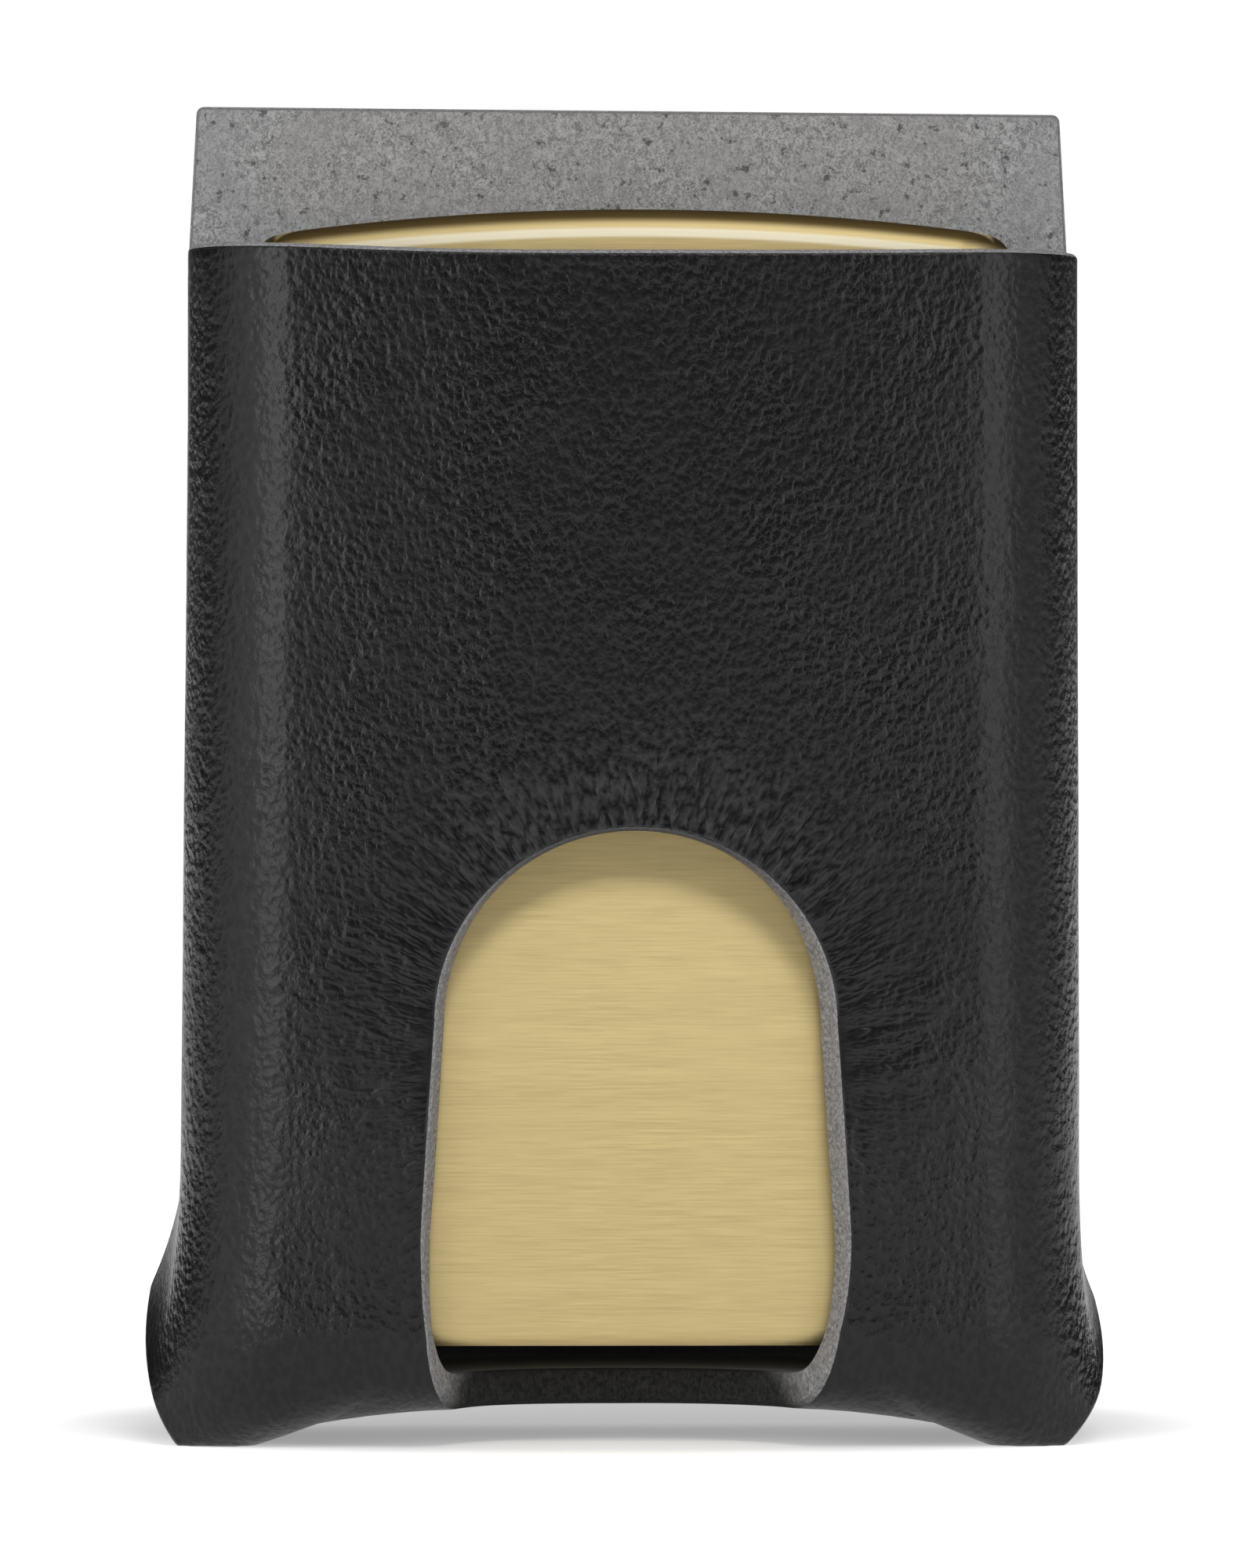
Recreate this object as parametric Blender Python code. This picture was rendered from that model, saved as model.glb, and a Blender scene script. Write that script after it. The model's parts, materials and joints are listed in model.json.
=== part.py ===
"""Leather slip case with a brass flip-top petrol lighter inside it.

X runs to the right, Y runs from the front of the case to its back, Z is up.
The origin is the middle of the whole part's box, on the surface it stands on.
The lighter's own pieces are laid out from the middle of its underside.
"""
import math

import bmesh
import bpy
from mathutils import Vector

MM = 0.001

# Clearance between pieces, and how far a cutter runs past what it cuts
CLEARANCE = 0.3 * MM
OVERRUN = 2.0 * MM

# Lighter, outside
LIGHTER_WIDTH = 38.1 * MM
LIGHTER_DEPTH = 13.0 * MM
LOWER_SHELL_HEIGHT = 36.4 * MM
LID_HEIGHT = 20.4 * MM
SHELL_WALL = 0.8 * MM
SHELL_CORNER = 2.8 * MM
LID_EDGE_RADIUS = 1.1 * MM
LOWER_EDGE_RADIUS = 0.9 * MM
LID_CROWN_RADIUS = 131.0 * MM

# Hinge between the two shells
HINGE_LENGTH = 8.4 * MM
HINGE_BARREL_RADIUS = 1.1 * MM
HINGE_PIN_RADIUS = 0.4 * MM
HINGE_LEAF_THICKNESS = 0.5 * MM
HINGE_LEAF_HEIGHT = 5.0 * MM
KNUCKLE_COUNT = 5

# Insert that carries the works
INSERT_WALL = 0.5 * MM
INSERT_CORNER = 1.9 * MM
INSERT_STANDS_PROUD = 1.6 * MM
INSERT_FOOT_GAP = 0.6 * MM

# Chimney that guards the flame
CHIMNEY_DEPTH = 9.0 * MM
CHIMNEY_WALL = 0.6 * MM
CHIMNEY_HEIGHT = 13.0 * MM
CHIMNEY_LEFT = 7.6 * MM
CHIMNEY_RIGHT = 5.2 * MM
VENT_RADIUS = 0.95 * MM
VENT_PITCH = 3.1 * MM
VENT_ROW_RISE = 2.9 * MM
VENT_LOW = 4.2 * MM
CHEEK_FOOT = 1.6 * MM
CHEEK_BOSS_RADIUS = 2.2 * MM

# Spark wheel and its axle
WHEEL_RADIUS = 3.6 * MM
WHEEL_WIDTH = 5.0 * MM
WHEEL_HUB_RADIUS = 2.5 * MM
WHEEL_TOOTH_DEPTH = 0.35 * MM
WHEEL_TEETH = 32
WHEEL_AXLE_HEIGHT = 8.2 * MM
AXLE_RADIUS = 0.7 * MM
RIVET_HEAD_RADIUS = 1.3 * MM
RIVET_HEAD_HEIGHT = 0.5 * MM

# Cam that snaps the lid, and its leaf spring
CAM_AXLE_HEIGHT = 5.6 * MM
CAM_AXLE_REACH = 10.9 * MM
CAM_WIDTH = 3.4 * MM
CAM_HUB_RADIUS = 1.9 * MM
CAM_NOSE_REACH = 5.2 * MM
CAM_NOSE_RADIUS = 0.9 * MM
CAM_HEEL_REACH = 2.6 * MM
SPRING_LEAF_THICKNESS = 0.4 * MM
SPRING_LEAF_WIDTH = 3.2 * MM

# Flint, its tube, spring and screw
FLINT_RADIUS = 1.15 * MM
FLINT_LENGTH = 4.6 * MM
FLINT_TUBE_WALL = 0.45 * MM
FLINT_TUBE_PROUD = 2.2 * MM
FLINT_SPRING_WIRE = 0.45 * MM
FLINT_SPRING_PITCH = 1.9 * MM
SCREW_SHANK_LENGTH = 5.0 * MM
SCREW_HEAD_RADIUS = 2.6 * MM
SCREW_HEAD_HEIGHT = 1.0 * MM
SCREW_SLOT_WIDTH = 0.7 * MM
SCREW_SLOT_DEPTH = 0.5 * MM

# Wick, wadding and felt
WICK_RADIUS = 1.3 * MM
WICK_PROUD = 8.0 * MM
WICK_TAIL = 24.0 * MM
WICK_SWAY = 1.6 * MM
FELT_THICKNESS = 3.4 * MM

# Leather sleeve
LEATHER_THICKNESS = 1.8 * MM
FOLD_GAP = 1.35 * MM
FRONT_GAP = 0.45 * MM
BARREL_GAP = 1.05 * MM
FRONT_FOLD_GAP = 1.0 * MM
SHOULDER_RADIUS = 5.5 * MM
BACK_BEND_RADIUS = 1.8 * MM
FLANGE_WIDTH = 8.0 * MM
PLY_GAP = 0.3 * MM
FRONT_DROP = 2.25 * MM
FRONT_RISE_LEFT = 0.5 * MM
FRONT_RISE_RIGHT = 0.15 * MM
LIP_HEIGHT = 8.3 * MM
LIP_WIDENING = 0.45 * MM
LIP_CORNER = 0.4 * MM
LIP_SLANT = 0.18 * MM
EAR_FLAT_DEPTH = 0.85 * MM

# How far the blank's edges lie inwards of the sleeve's sides
LIP_INSET = 0.1 * MM
FOLD_INSET_LEFT = 0.2 * MM
FOLD_INSET_RIGHT = 2.2 * MM

# How the bottom fold changes from square in the middle to round at the ears
FOLD_RADIUS = 2.9 * MM
FOLD_SQUARE_HALF = 7.0 * MM
FOLD_ROUND_INSET_LEFT = 0.1 * MM
FOLD_ROUND_INSET_RIGHT = 1.2 * MM

# How the two lower corners flare out into ears
EAR_START = 1.0 * MM
EAR_END_LEFT = 20.0 * MM
EAR_END_RIGHT = 20.0 * MM
EAR_POWER_LEFT = 2.0
EAR_POWER_RIGHT = 2.6
WING_SWEEP_LEFT = 6.2 * MM
WING_SWEEP_RIGHT = 4.6 * MM
WING_CUT_START = 0.6 * MM
FLANGE_START = 19.0 * MM
FOLD_HOLD = 12.0 * MM
SPREAD_LEFT = 0.4 * MM
SPREAD_RIGHT = 0.1 * MM

# How the front swells
CROWN_ANGLE = math.radians(6.0)
BELLY_ANGLE = math.radians(4.0)
BELLY_HEIGHT = 9.0 * MM
BELLY_SPAN = 10.0 * MM

# Thumb hole through the front and the fold
HOLE_ARCH_HALF = 9.8 * MM
HOLE_ARCH_RISE = 9.6 * MM
HOLE_LOW_HALF = 10.5 * MM
HOLE_LOW_RISE = 12.8 * MM
HOLE_LOW_POWER_LEFT = 3.0
HOLE_LOW_POWER_RIGHT = 2.3
HOLE_SIDE = 10.6 * MM
HOLE_END = 3.0 * MM

# Facets
CORNER_STEPS = 5
EDGE_STEPS = 4
FACE_STEPS = 12
SMALL_SIDES = 14
ROUND_SIDES = 24
NEAR_COLUMNS = 4
FAR_COLUMN_SHARES = (0, .08, .16, .22, .28, .34, .40, .47, .55, .63, .69, .73, .77, .88, 1)
SMOOTH_ANGLE = math.radians(35.0)
DERIVATIVE_STEP = 0.02 * MM

# Sizes worked out from those above
HALF_WIDTH = LIGHTER_WIDTH / 2
HALF_DEPTH = LIGHTER_DEPTH / 2
LEAF_INNER_X = HALF_WIDTH - SHELL_WALL - CLEARANCE - HINGE_LEAF_THICKNESS
HINGE_X = -(LEAF_INNER_X + HINGE_BARREL_RADIUS)
SPLIT_GAP = CLEARANCE
LIGHTER_HEIGHT = LOWER_SHELL_HEIGHT + SPLIT_GAP + LID_HEIGHT
FRONT_HEIGHT = LIGHTER_HEIGHT - FRONT_DROP
HINGE_Z = LOWER_SHELL_HEIGHT + SPLIT_GAP / 2
INSERT_LEFT = -(LEAF_INNER_X - CLEARANCE)
INSERT_RIGHT = HALF_WIDTH - SHELL_WALL - CLEARANCE
INSERT_HALF_DEPTH = HALF_DEPTH - SHELL_WALL - CLEARANCE
INSERT_FOOT = SHELL_WALL + INSERT_FOOT_GAP
DECK_Z = LOWER_SHELL_HEIGHT + INSERT_STANDS_PROUD
WHEEL_X = CHIMNEY_RIGHT + CLEARANCE + WHEEL_RADIUS
WHEEL_Z = DECK_Z + WHEEL_AXLE_HEIGHT
CAM_X = -CAM_AXLE_REACH
CAM_Z = DECK_Z + CAM_AXLE_HEIGHT
FLINT_TUBE_BORE = FLINT_RADIUS + CLEARANCE
FLINT_TUBE_RADIUS = FLINT_TUBE_BORE + FLINT_TUBE_WALL
FLINT_TOP = WHEEL_Z - WHEEL_RADIUS - CLEARANCE
FLINT_TUBE_TOP = DECK_Z + FLINT_TUBE_PROUD
SCREW_HEAD_TOP = INSERT_FOOT + SCREW_HEAD_HEIGHT
FLINT_TUBE_FOOT = SCREW_HEAD_TOP + CLEARANCE
WICK_X = (CHIMNEY_RIGHT - CHIMNEY_LEFT) / 2

BARREL_REACH = HINGE_BARREL_RADIUS - HINGE_X
SLEEVE_HALF = BARREL_REACH + BARREL_GAP + LEATHER_THICKNESS / 2
SLEEVE_REACH = SLEEVE_HALF + LEATHER_THICKNESS / 2
STRIP_HALF_WIDTH = SLEEVE_REACH - LIP_INSET
FOLD_ROUND_LEFT = SLEEVE_REACH - FOLD_ROUND_INSET_LEFT
FOLD_ROUND_RIGHT = SLEEVE_REACH - FOLD_ROUND_INSET_RIGHT
FOLD_HALF_WIDTH_LEFT = SLEEVE_REACH - FOLD_INSET_LEFT
FOLD_HALF_WIDTH_RIGHT = SLEEVE_REACH - FOLD_INSET_RIGHT
SHOULDER_Y = -(HALF_DEPTH + FRONT_GAP + LEATHER_THICKNESS / 2)
FLANGE_Y = HALF_DEPTH + CLEARANCE + LEATHER_THICKNESS / 2
STRIP_Y = FLANGE_Y + LEATHER_THICKNESS + PLY_GAP
FOLD_FRONT_Y = -(HALF_DEPTH + FRONT_FOLD_GAP + LEATHER_THICKNESS / 2)
FOLD_HALF = (STRIP_Y - FOLD_FRONT_Y) / 2
FOLD_Y = (STRIP_Y + FOLD_FRONT_Y) / 2
FLOOR_Z = -(FOLD_GAP + LEATHER_THICKNESS / 2)
QUARTER = math.pi / 2
FOLD_RUN = FOLD_HALF - FOLD_RADIUS + QUARTER * FOLD_RADIUS
FOLD_LIFT = FOLD_RUN - FOLD_RADIUS - FLOOR_Z
HOLE_LOW_V = HOLE_END + HOLE_LOW_RISE
HOLE_ARCH_V = HOLE_LOW_V + HOLE_SIDE
HOLE_TOP_V = HOLE_ARCH_V + HOLE_ARCH_RISE
FRONT_TOP_V = FRONT_HEIGHT + FOLD_LIFT
LIP_TOP_V = FRONT_TOP_V + LIP_HEIGHT


def clear_scene():
    for old in list(bpy.data.objects):
        bpy.data.objects.remove(old, do_unlink=True)


def material(name, colour, roughness, metallic):
    made = bpy.data.materials.new(name)
    made.use_nodes = True
    shader = made.node_tree.nodes["Principled BSDF"]
    shader.inputs["Base Color"].default_value = (*colour, 1.0)
    shader.inputs["Roughness"].default_value = roughness
    shader.inputs["Metallic"].default_value = metallic
    made.diffuse_color = (*colour, 1.0)
    return made


def object_from(name, bm, finish, origin=(0, 0, 0)):
    """Turn a bmesh in lighter coordinates into an object with its origin there."""
    bmesh.ops.recalc_face_normals(bm, faces=bm.faces[:])
    bmesh.ops.translate(bm, verts=bm.verts[:], vec=-Vector(origin))
    mesh = bpy.data.meshes.new(name)
    bm.to_mesh(mesh)
    bm.free()
    mesh.shade_smooth()
    mesh.set_sharp_from_angle(angle=SMOOTH_ANGLE)
    made = bpy.data.objects.new(name, mesh)
    made.location = origin
    bpy.context.scene.collection.objects.link(made)
    if finish:
        mesh.materials.append(finish)
    return made


def loft(rings, close_ends=True):
    """Skin a list of rings that have the same number of points.

    Without closed ends, the last ring joins the first one.
    """
    bm = bmesh.new()
    made = [[bm.verts.new(point) for point in ring] for ring in rings]
    if not close_ends:
        made.append(made[0])
    for low, high in zip(made, made[1:]):
        for i in range(len(low)):
            j = (i + 1) % len(low)
            bm.faces.new((low[i], low[j], high[j], high[i]))
    if close_ends:
        bm.faces.new(made[0])
        bm.faces.new(made[-1])
    return bm


def circle(radius, sides):
    angles = [2 * math.pi * i / sides for i in range(sides)]
    return [(radius * math.cos(a), radius * math.sin(a)) for a in angles]


def turned_z(name, profile, sides, finish, x=0, y=0):
    """A turned piece on an upright axis; profile lists (radius, z)."""
    rings = [[(x + a, y + b, z) for a, b in circle(radius, sides)] for radius, z in profile]
    return object_from(name, loft(rings), finish)


def turned_y(name, profile, sides, finish, x, z):
    """A turned piece on an axis along Y; profile lists (radius, y)."""
    rings = [[(x + a, y, z + b) for a, b in circle(radius, sides)] for radius, y in profile]
    return object_from(name, loft(rings), finish, origin=(x, 0, z))


def plate_y(name, outline, y_low, y_high, finish, origin=(0, 0, 0)):
    """A flat outline in X and Z, carried along Y."""
    rings = [[(x, y, z) for x, z in outline] for y in (y_low, y_high)]
    return object_from(name, loft(rings), finish, origin)


def block(name, low, high, finish=None):
    (x0, y0, z0), (x1, y1, z1) = low, high
    return plate_y(name, [(x0, z0), (x1, z0), (x1, z1), (x0, z1)], y0, y1, finish)


def boolean(target, tool, operation):
    change = target.modifiers.new(operation.lower() + "_" + tool.name, "BOOLEAN")
    change.operation = operation
    change.object = tool
    tool.hide_render = True
    tool.display_type = "WIRE"


def cut(target, tool):
    boolean(target, tool, "DIFFERENCE")


def join(target, tool):
    boolean(target, tool, "UNION")


def arc(cx, cy, radius, start, end, steps):
    turns = [start + (end - start) * i / steps for i in range(steps + 1)]
    return [(cx + radius * math.cos(a), cy + radius * math.sin(a)) for a in turns]


def rounded_outline(x_low, x_high, half_depth, corner, inset, face_steps=1):
    """A rounded oblong in plan, whose front and back points share their X."""
    radius = max(corner - inset, CLEARANCE)
    left, right = x_low + inset + radius, x_high - inset - radius
    y = half_depth - inset - radius
    front = [(left + (right - left) * i / face_steps, -y - radius) for i in range(1, face_steps)]
    outline = arc(left, -y, radius, math.pi, 3 * QUARTER, CORNER_STEPS) + front
    outline += arc(right, -y, radius, -QUARTER, 0, CORNER_STEPS)
    return outline + [(x, -back) for x, back in reversed(outline)]


def can(name, box, heights, corner, edge, wall, finish, crown=None):
    """An open box with one closed end, whose closed end is crowned across X.

    box is (x_low, x_high, half_depth) and heights is (open end, closed end).
    """
    x_low, x_high, half_depth = box
    z_open, z_end = heights
    way = 1 if z_end > z_open else -1
    middle = (x_low + x_high) / 2
    face_steps = FACE_STEPS if crown else 1

    def ring(inset, z, crowned):
        outline = rounded_outline(x_low, x_high, half_depth, corner, inset, face_steps)
        drop = crown if crown and crowned else (lambda _x: 0.0)
        return [(x, y, z - way * drop(x - middle)) for x, y in outline]

    def side(inset, z_far, radius):
        rings = [ring(inset, z_open, False), ring(inset, z_far - way * radius, True)]
        for i in range(1, EDGE_STEPS + 1):
            a = QUARTER * i / EDGE_STEPS
            rings.append(ring(inset + radius * (1 - math.cos(a)),
                              z_far - way * radius * (1 - math.sin(a)), True))
        return rings

    outer = side(0, z_end, edge)
    inner = side(wall, z_end - way * wall, max(edge - wall, CLEARANCE))
    bm = bmesh.new()
    skins = [[[bm.verts.new(p) for p in r] for r in rings] for rings in (outer, inner)]
    for rings in skins:
        for low, high in zip(rings, rings[1:]):
            for i in range(len(low)):
                j = (i + 1) % len(low)
                bm.faces.new((low[i], low[j], high[j], high[i]))
        cap = rings[-1]
        count = len(cap)
        for i in range(count // 2 - 1):
            bm.faces.new((cap[i], cap[i + 1], cap[count - 2 - i], cap[count - 1 - i]))
    rim_out, rim_in = skins[0][0], skins[1][0]
    for i in range(len(rim_out)):
        j = (i + 1) % len(rim_out)
        bm.faces.new((rim_out[i], rim_out[j], rim_in[j], rim_in[i]))
    return object_from(name, bm, finish)


def tube_along(name, points, radius, sides, finish):
    """A round strand along a list of points, with flat ends."""
    rings = []
    side = Vector((0, 1, 0))
    for i, point in enumerate(points):
        ahead = points[min(i + 1, len(points) - 1)]
        behind = points[max(i - 1, 0)]
        run = (Vector(ahead) - Vector(behind)).normalized()
        side = (side - run * side.dot(run)).normalized()
        up = run.cross(side)
        rings.append([Vector(point) + side * a + up * b for a, b in circle(radius, sides)])
    return object_from(name, loft(rings), finish)


def pipe_z(name, x, bore, radius, z_low, z_high, sides, finish):
    """An upright tube, open at both ends."""
    profile = [(radius, z_low), (radius, z_high), (bore, z_high), (bore, z_low)]
    rings = [[(x + a, b, z) for a, b in circle(r, sides)] for r, z in profile]
    return object_from(name, loft(rings, close_ends=False), finish)


def drill_y(name, centres, radius, sides, reach):
    """One cutter made of several round bars along Y."""
    bm = bmesh.new()
    for x, z in centres:
        ends = [[bm.verts.new((x + a, y, z + b)) for a, b in circle(radius, sides)]
                for y in (-reach, reach)]
        for i in range(sides):
            j = (i + 1) % sides
            bm.faces.new((ends[0][i], ends[0][j], ends[1][j], ends[1][i]))
        bm.faces.new(ends[0])
        bm.faces.new(ends[1])
    return object_from(name, bm, None)


def hull(points):
    """The convex outline round a set of flat points, counterclockwise."""
    def half(ordered):
        chain = []
        for p in ordered:
            while len(chain) > 1:
                (ax, ay), (bx, by) = chain[-2], chain[-1]
                if (bx - ax) * (p[1] - ay) - (by - ay) * (p[0] - ax) > 0:
                    break
                chain.pop()
            chain.append(p)
        return chain[:-1]
    ordered = sorted(points)
    return half(ordered) + half(ordered[::-1])


def lid_crown(x):
    return x * x / (2 * LID_CROWN_RADIUS)


def notch_for_hinge(shell):
    """Open the left wall of a shell where the hinge barrel lies."""
    half = HINGE_LENGTH / 2 + CLEARANCE
    rise = HINGE_BARREL_RADIUS + CLEARANCE
    inner = -(LEAF_INNER_X + HINGE_LEAF_THICKNESS)
    cut(shell, block("notch_" + shell.name, (-HALF_WIDTH - OVERRUN, -half, HINGE_Z - rise),
                     (inner, half, HINGE_Z + rise)))


def make_lower_shell(brass):
    box = (-HALF_WIDTH, HALF_WIDTH, HALF_DEPTH)
    shell = can("lower_shell", box, (LOWER_SHELL_HEIGHT, 0), SHELL_CORNER,
                LOWER_EDGE_RADIUS, SHELL_WALL, brass)
    notch_for_hinge(shell)
    return shell


def make_lid_shell(brass):
    box = (-HALF_WIDTH, HALF_WIDTH, HALF_DEPTH)
    shell = can("lid_shell", box, (LOWER_SHELL_HEIGHT + SPLIT_GAP, LIGHTER_HEIGHT),
                SHELL_CORNER, LID_EDGE_RADIUS, SHELL_WALL, brass, lid_crown)
    notch_for_hinge(shell)
    return shell


def make_hinge_leaf(name, way, own, brass):
    """A leaf with knuckles; way is -1 for a plate below the axis and 1 above.

    own says which of the knuckles, counted from the front, belong to this leaf.
    """
    pitch = (HINGE_LENGTH + CLEARANCE) / KNUCKLE_COUNT
    stations = [-HINGE_LENGTH / 2]
    knuckled = []
    for i in range(KNUCKLE_COUNT):
        start = -HINGE_LENGTH / 2 + i * pitch
        if i in own:
            if start > stations[-1]:
                stations.append(start)
                knuckled.append(False)
            stations.append(start + pitch - CLEARANCE)
            knuckled.append(True)
    if stations[-1] < HINGE_LENGTH / 2 - CLEARANCE:
        stations.append(HINGE_LENGTH / 2)
        knuckled.append(False)
    inner_x = -LEAF_INNER_X
    outer_x = inner_x - HINGE_LEAF_THICKNESS
    near = HINGE_Z + way * (HINGE_BARREL_RADIUS + CLEARANCE)
    far = near + way * HINGE_LEAF_HEIGHT
    lean = math.acos((HINGE_BARREL_RADIUS - HINGE_LEAF_THICKNESS) / HINGE_BARREL_RADIUS)
    barrel = [(x, HINGE_Z - way * (z - HINGE_Z)) for x, z in
              arc(HINGE_X, HINGE_Z, HINGE_BARREL_RADIUS, 0, 2 * math.pi - lean, SMALL_SIDES)]
    plate = [(outer_x, near), (outer_x, far), (inner_x, far), (inner_x, near)]
    bm = bmesh.new()
    plates = [[bm.verts.new((x, y, z)) for x, z in plate] for y in stations]
    for low, high, has_knuckle in zip(plates, plates[1:], knuckled):
        for i in range(3):
            bm.faces.new((low[i], low[i + 1], high[i + 1], high[i]))
        if not has_knuckle:
            bm.faces.new((low[3], low[0], high[0], high[3]))
            continue
        ends = []
        for end in (low, high):
            y = end[0].co.y
            ring = [end[3]] + [bm.verts.new((x, y, z)) for x, z in barrel] + [end[0]]
            bm.faces.new(ring)
            ends.append(ring)
        for i in range(len(barrel) + 1):
            bm.faces.new((ends[0][i], ends[0][i + 1], ends[1][i + 1], ends[1][i]))
    bm.faces.new(plates[0])
    bm.faces.new(plates[-1])
    leaf = object_from(name, bm, brass)
    cut(leaf, drill_y("bore_" + name, [(HINGE_X, HINGE_Z)], HINGE_PIN_RADIUS + CLEARANCE,
                      SMALL_SIDES, HINGE_LENGTH / 2 + OVERRUN))
    return leaf


def make_hinge_pin(steel):
    reach = HINGE_LENGTH / 2
    profile = [(HINGE_PIN_RADIUS, -reach), (HINGE_PIN_RADIUS, reach)]
    return turned_y("hinge_pin", profile, SMALL_SIDES, steel, HINGE_X, HINGE_Z)


def make_insert_shell(steel):
    shell = can("insert_shell", (INSERT_LEFT, INSERT_RIGHT, INSERT_HALF_DEPTH),
                (INSERT_FOOT, DECK_Z), INSERT_CORNER, INSERT_WALL, INSERT_WALL, steel)
    low, high = DECK_Z - INSERT_WALL - OVERRUN, DECK_Z + OVERRUN
    for label, x, radius in (("tube", WHEEL_X, FLINT_TUBE_RADIUS), ("wick", WICK_X, WICK_RADIUS)):
        hole = radius + CLEARANCE
        cut(shell, turned_z("deck_hole_" + label, [(hole, low), (hole, high)],
                            ROUND_SIDES, None, x))
    return shell


def make_chimney(steel):
    base = DECK_Z + CLEARANCE
    top = DECK_Z + CHIMNEY_HEIGHT
    boss = CHEEK_BOSS_RADIUS
    outline = [(CAM_X - boss, base), (WHEEL_X + boss, base)]
    outline += arc(WHEEL_X, WHEEL_Z, boss, 0, QUARTER * 2 / 3, CORNER_STEPS)
    outline += [(CHIMNEY_RIGHT, WHEEL_Z + boss), (CHIMNEY_RIGHT, top), (-CHIMNEY_LEFT, top)]
    outline += [(-CHIMNEY_LEFT, CAM_Z + boss)]
    outline += arc(CAM_X, CAM_Z, boss, QUARTER * 4 / 3, 2 * QUARTER, CORNER_STEPS)
    half = CHIMNEY_DEPTH / 2
    chimney = plate_y("chimney", outline, -half, half, steel)
    inner = half - CHIMNEY_WALL
    low, high = base - OVERRUN, top + OVERRUN
    spans = {"middle": (CHIMNEY_WALL - CHIMNEY_LEFT, CHIMNEY_RIGHT - CHIMNEY_WALL),
             "wheel": (CHIMNEY_RIGHT, WHEEL_X + boss + OVERRUN),
             "cam": (CAM_X - boss - OVERRUN, -CHIMNEY_LEFT)}
    for label, (left, right) in spans.items():
        cut(chimney, block("channel_" + label, (left, -inner, low), (right, inner, high)))
    vents = []
    for row, columns in enumerate((3, 2, 3)):
        z = base + VENT_LOW + row * VENT_ROW_RISE
        vents += [(WICK_X + (i - (columns - 1) / 2) * VENT_PITCH, z) for i in range(columns)]
    cut(chimney, drill_y("vents", vents, VENT_RADIUS, SMALL_SIDES, half + OVERRUN))
    axles = [(WHEEL_X, WHEEL_Z), (CAM_X, CAM_Z)]
    cut(chimney, drill_y("axle_holes", axles, AXLE_RADIUS + CLEARANCE, SMALL_SIDES, half + OVERRUN))
    return chimney


def make_rivet(name, x, z, steel):
    """A rivet through both cheeks of the chimney, headed at each end."""
    shank = CHIMNEY_DEPTH / 2 + CLEARANCE
    end = shank + RIVET_HEAD_HEIGHT
    soft = RIVET_HEAD_RADIUS - RIVET_HEAD_HEIGHT / 2
    profile = [(soft, -end), (RIVET_HEAD_RADIUS, -end + RIVET_HEAD_HEIGHT / 2),
               (RIVET_HEAD_RADIUS, -shank), (AXLE_RADIUS, -shank), (AXLE_RADIUS, shank),
               (RIVET_HEAD_RADIUS, shank), (RIVET_HEAD_RADIUS, end - RIVET_HEAD_HEIGHT / 2),
               (soft, end)]
    return turned_y(name, profile, SMALL_SIDES, steel, x, z)


def make_spark_wheel(steel):
    """Cross-cut teeth: their ridges lean one way, then the other."""
    half = WHEEL_WIDTH / 2
    root = WHEEL_RADIUS - WHEEL_TOOTH_DEPTH
    points = 2 * WHEEL_TEETH

    def ring(y, peak, turn):
        made = []
        for i in range(points):
            angle = 2 * math.pi * (i + turn) / points
            radius = peak if i % 2 else root
            made.append((WHEEL_X + radius * math.cos(angle), y, WHEEL_Z + radius * math.sin(angle)))
        return made

    rim = half - WHEEL_TOOTH_DEPTH
    rings = [ring(-half, root, 0), ring(-rim, WHEEL_RADIUS, 0), ring(0, WHEEL_RADIUS, 1),
             ring(rim, WHEEL_RADIUS, 0), ring(half, root, 0)]
    wheel = object_from("spark_wheel", loft(rings), steel, (WHEEL_X, 0, WHEEL_Z))
    bore = drill_y("wheel_bore", [(0, 0)], AXLE_RADIUS + CLEARANCE, SMALL_SIDES, half + OVERRUN)
    bore.location = (WHEEL_X, 0, WHEEL_Z)
    cut(wheel, bore)
    return wheel


def cam_points():
    """Centres of the cam's nose and heel."""
    nose_turn, heel_turn = math.radians(125), math.radians(235)
    nose = (CAM_X + CAM_NOSE_REACH * math.cos(nose_turn),
            CAM_Z + CAM_NOSE_REACH * math.sin(nose_turn))
    heel = (CAM_X + CAM_HEEL_REACH * math.cos(heel_turn),
            CAM_Z + CAM_HEEL_REACH * math.sin(heel_turn))
    return nose, heel


def make_cam(steel):
    nose, heel = cam_points()
    rim = []
    for (x, z), radius in ((nose, CAM_NOSE_RADIUS), (heel, CAM_NOSE_RADIUS),
                           ((CAM_X, CAM_Z), CAM_HUB_RADIUS)):
        rim += [(x + a, z + b) for a, b in circle(radius, SMALL_SIDES)]
    half = CAM_WIDTH / 2
    cam = plate_y("cam", hull(rim), -half, half, steel)
    cut(cam, drill_y("cam_bore", [(CAM_X, CAM_Z)], AXLE_RADIUS + CLEARANCE, SMALL_SIDES,
                     half + OVERRUN))
    return cam


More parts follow.
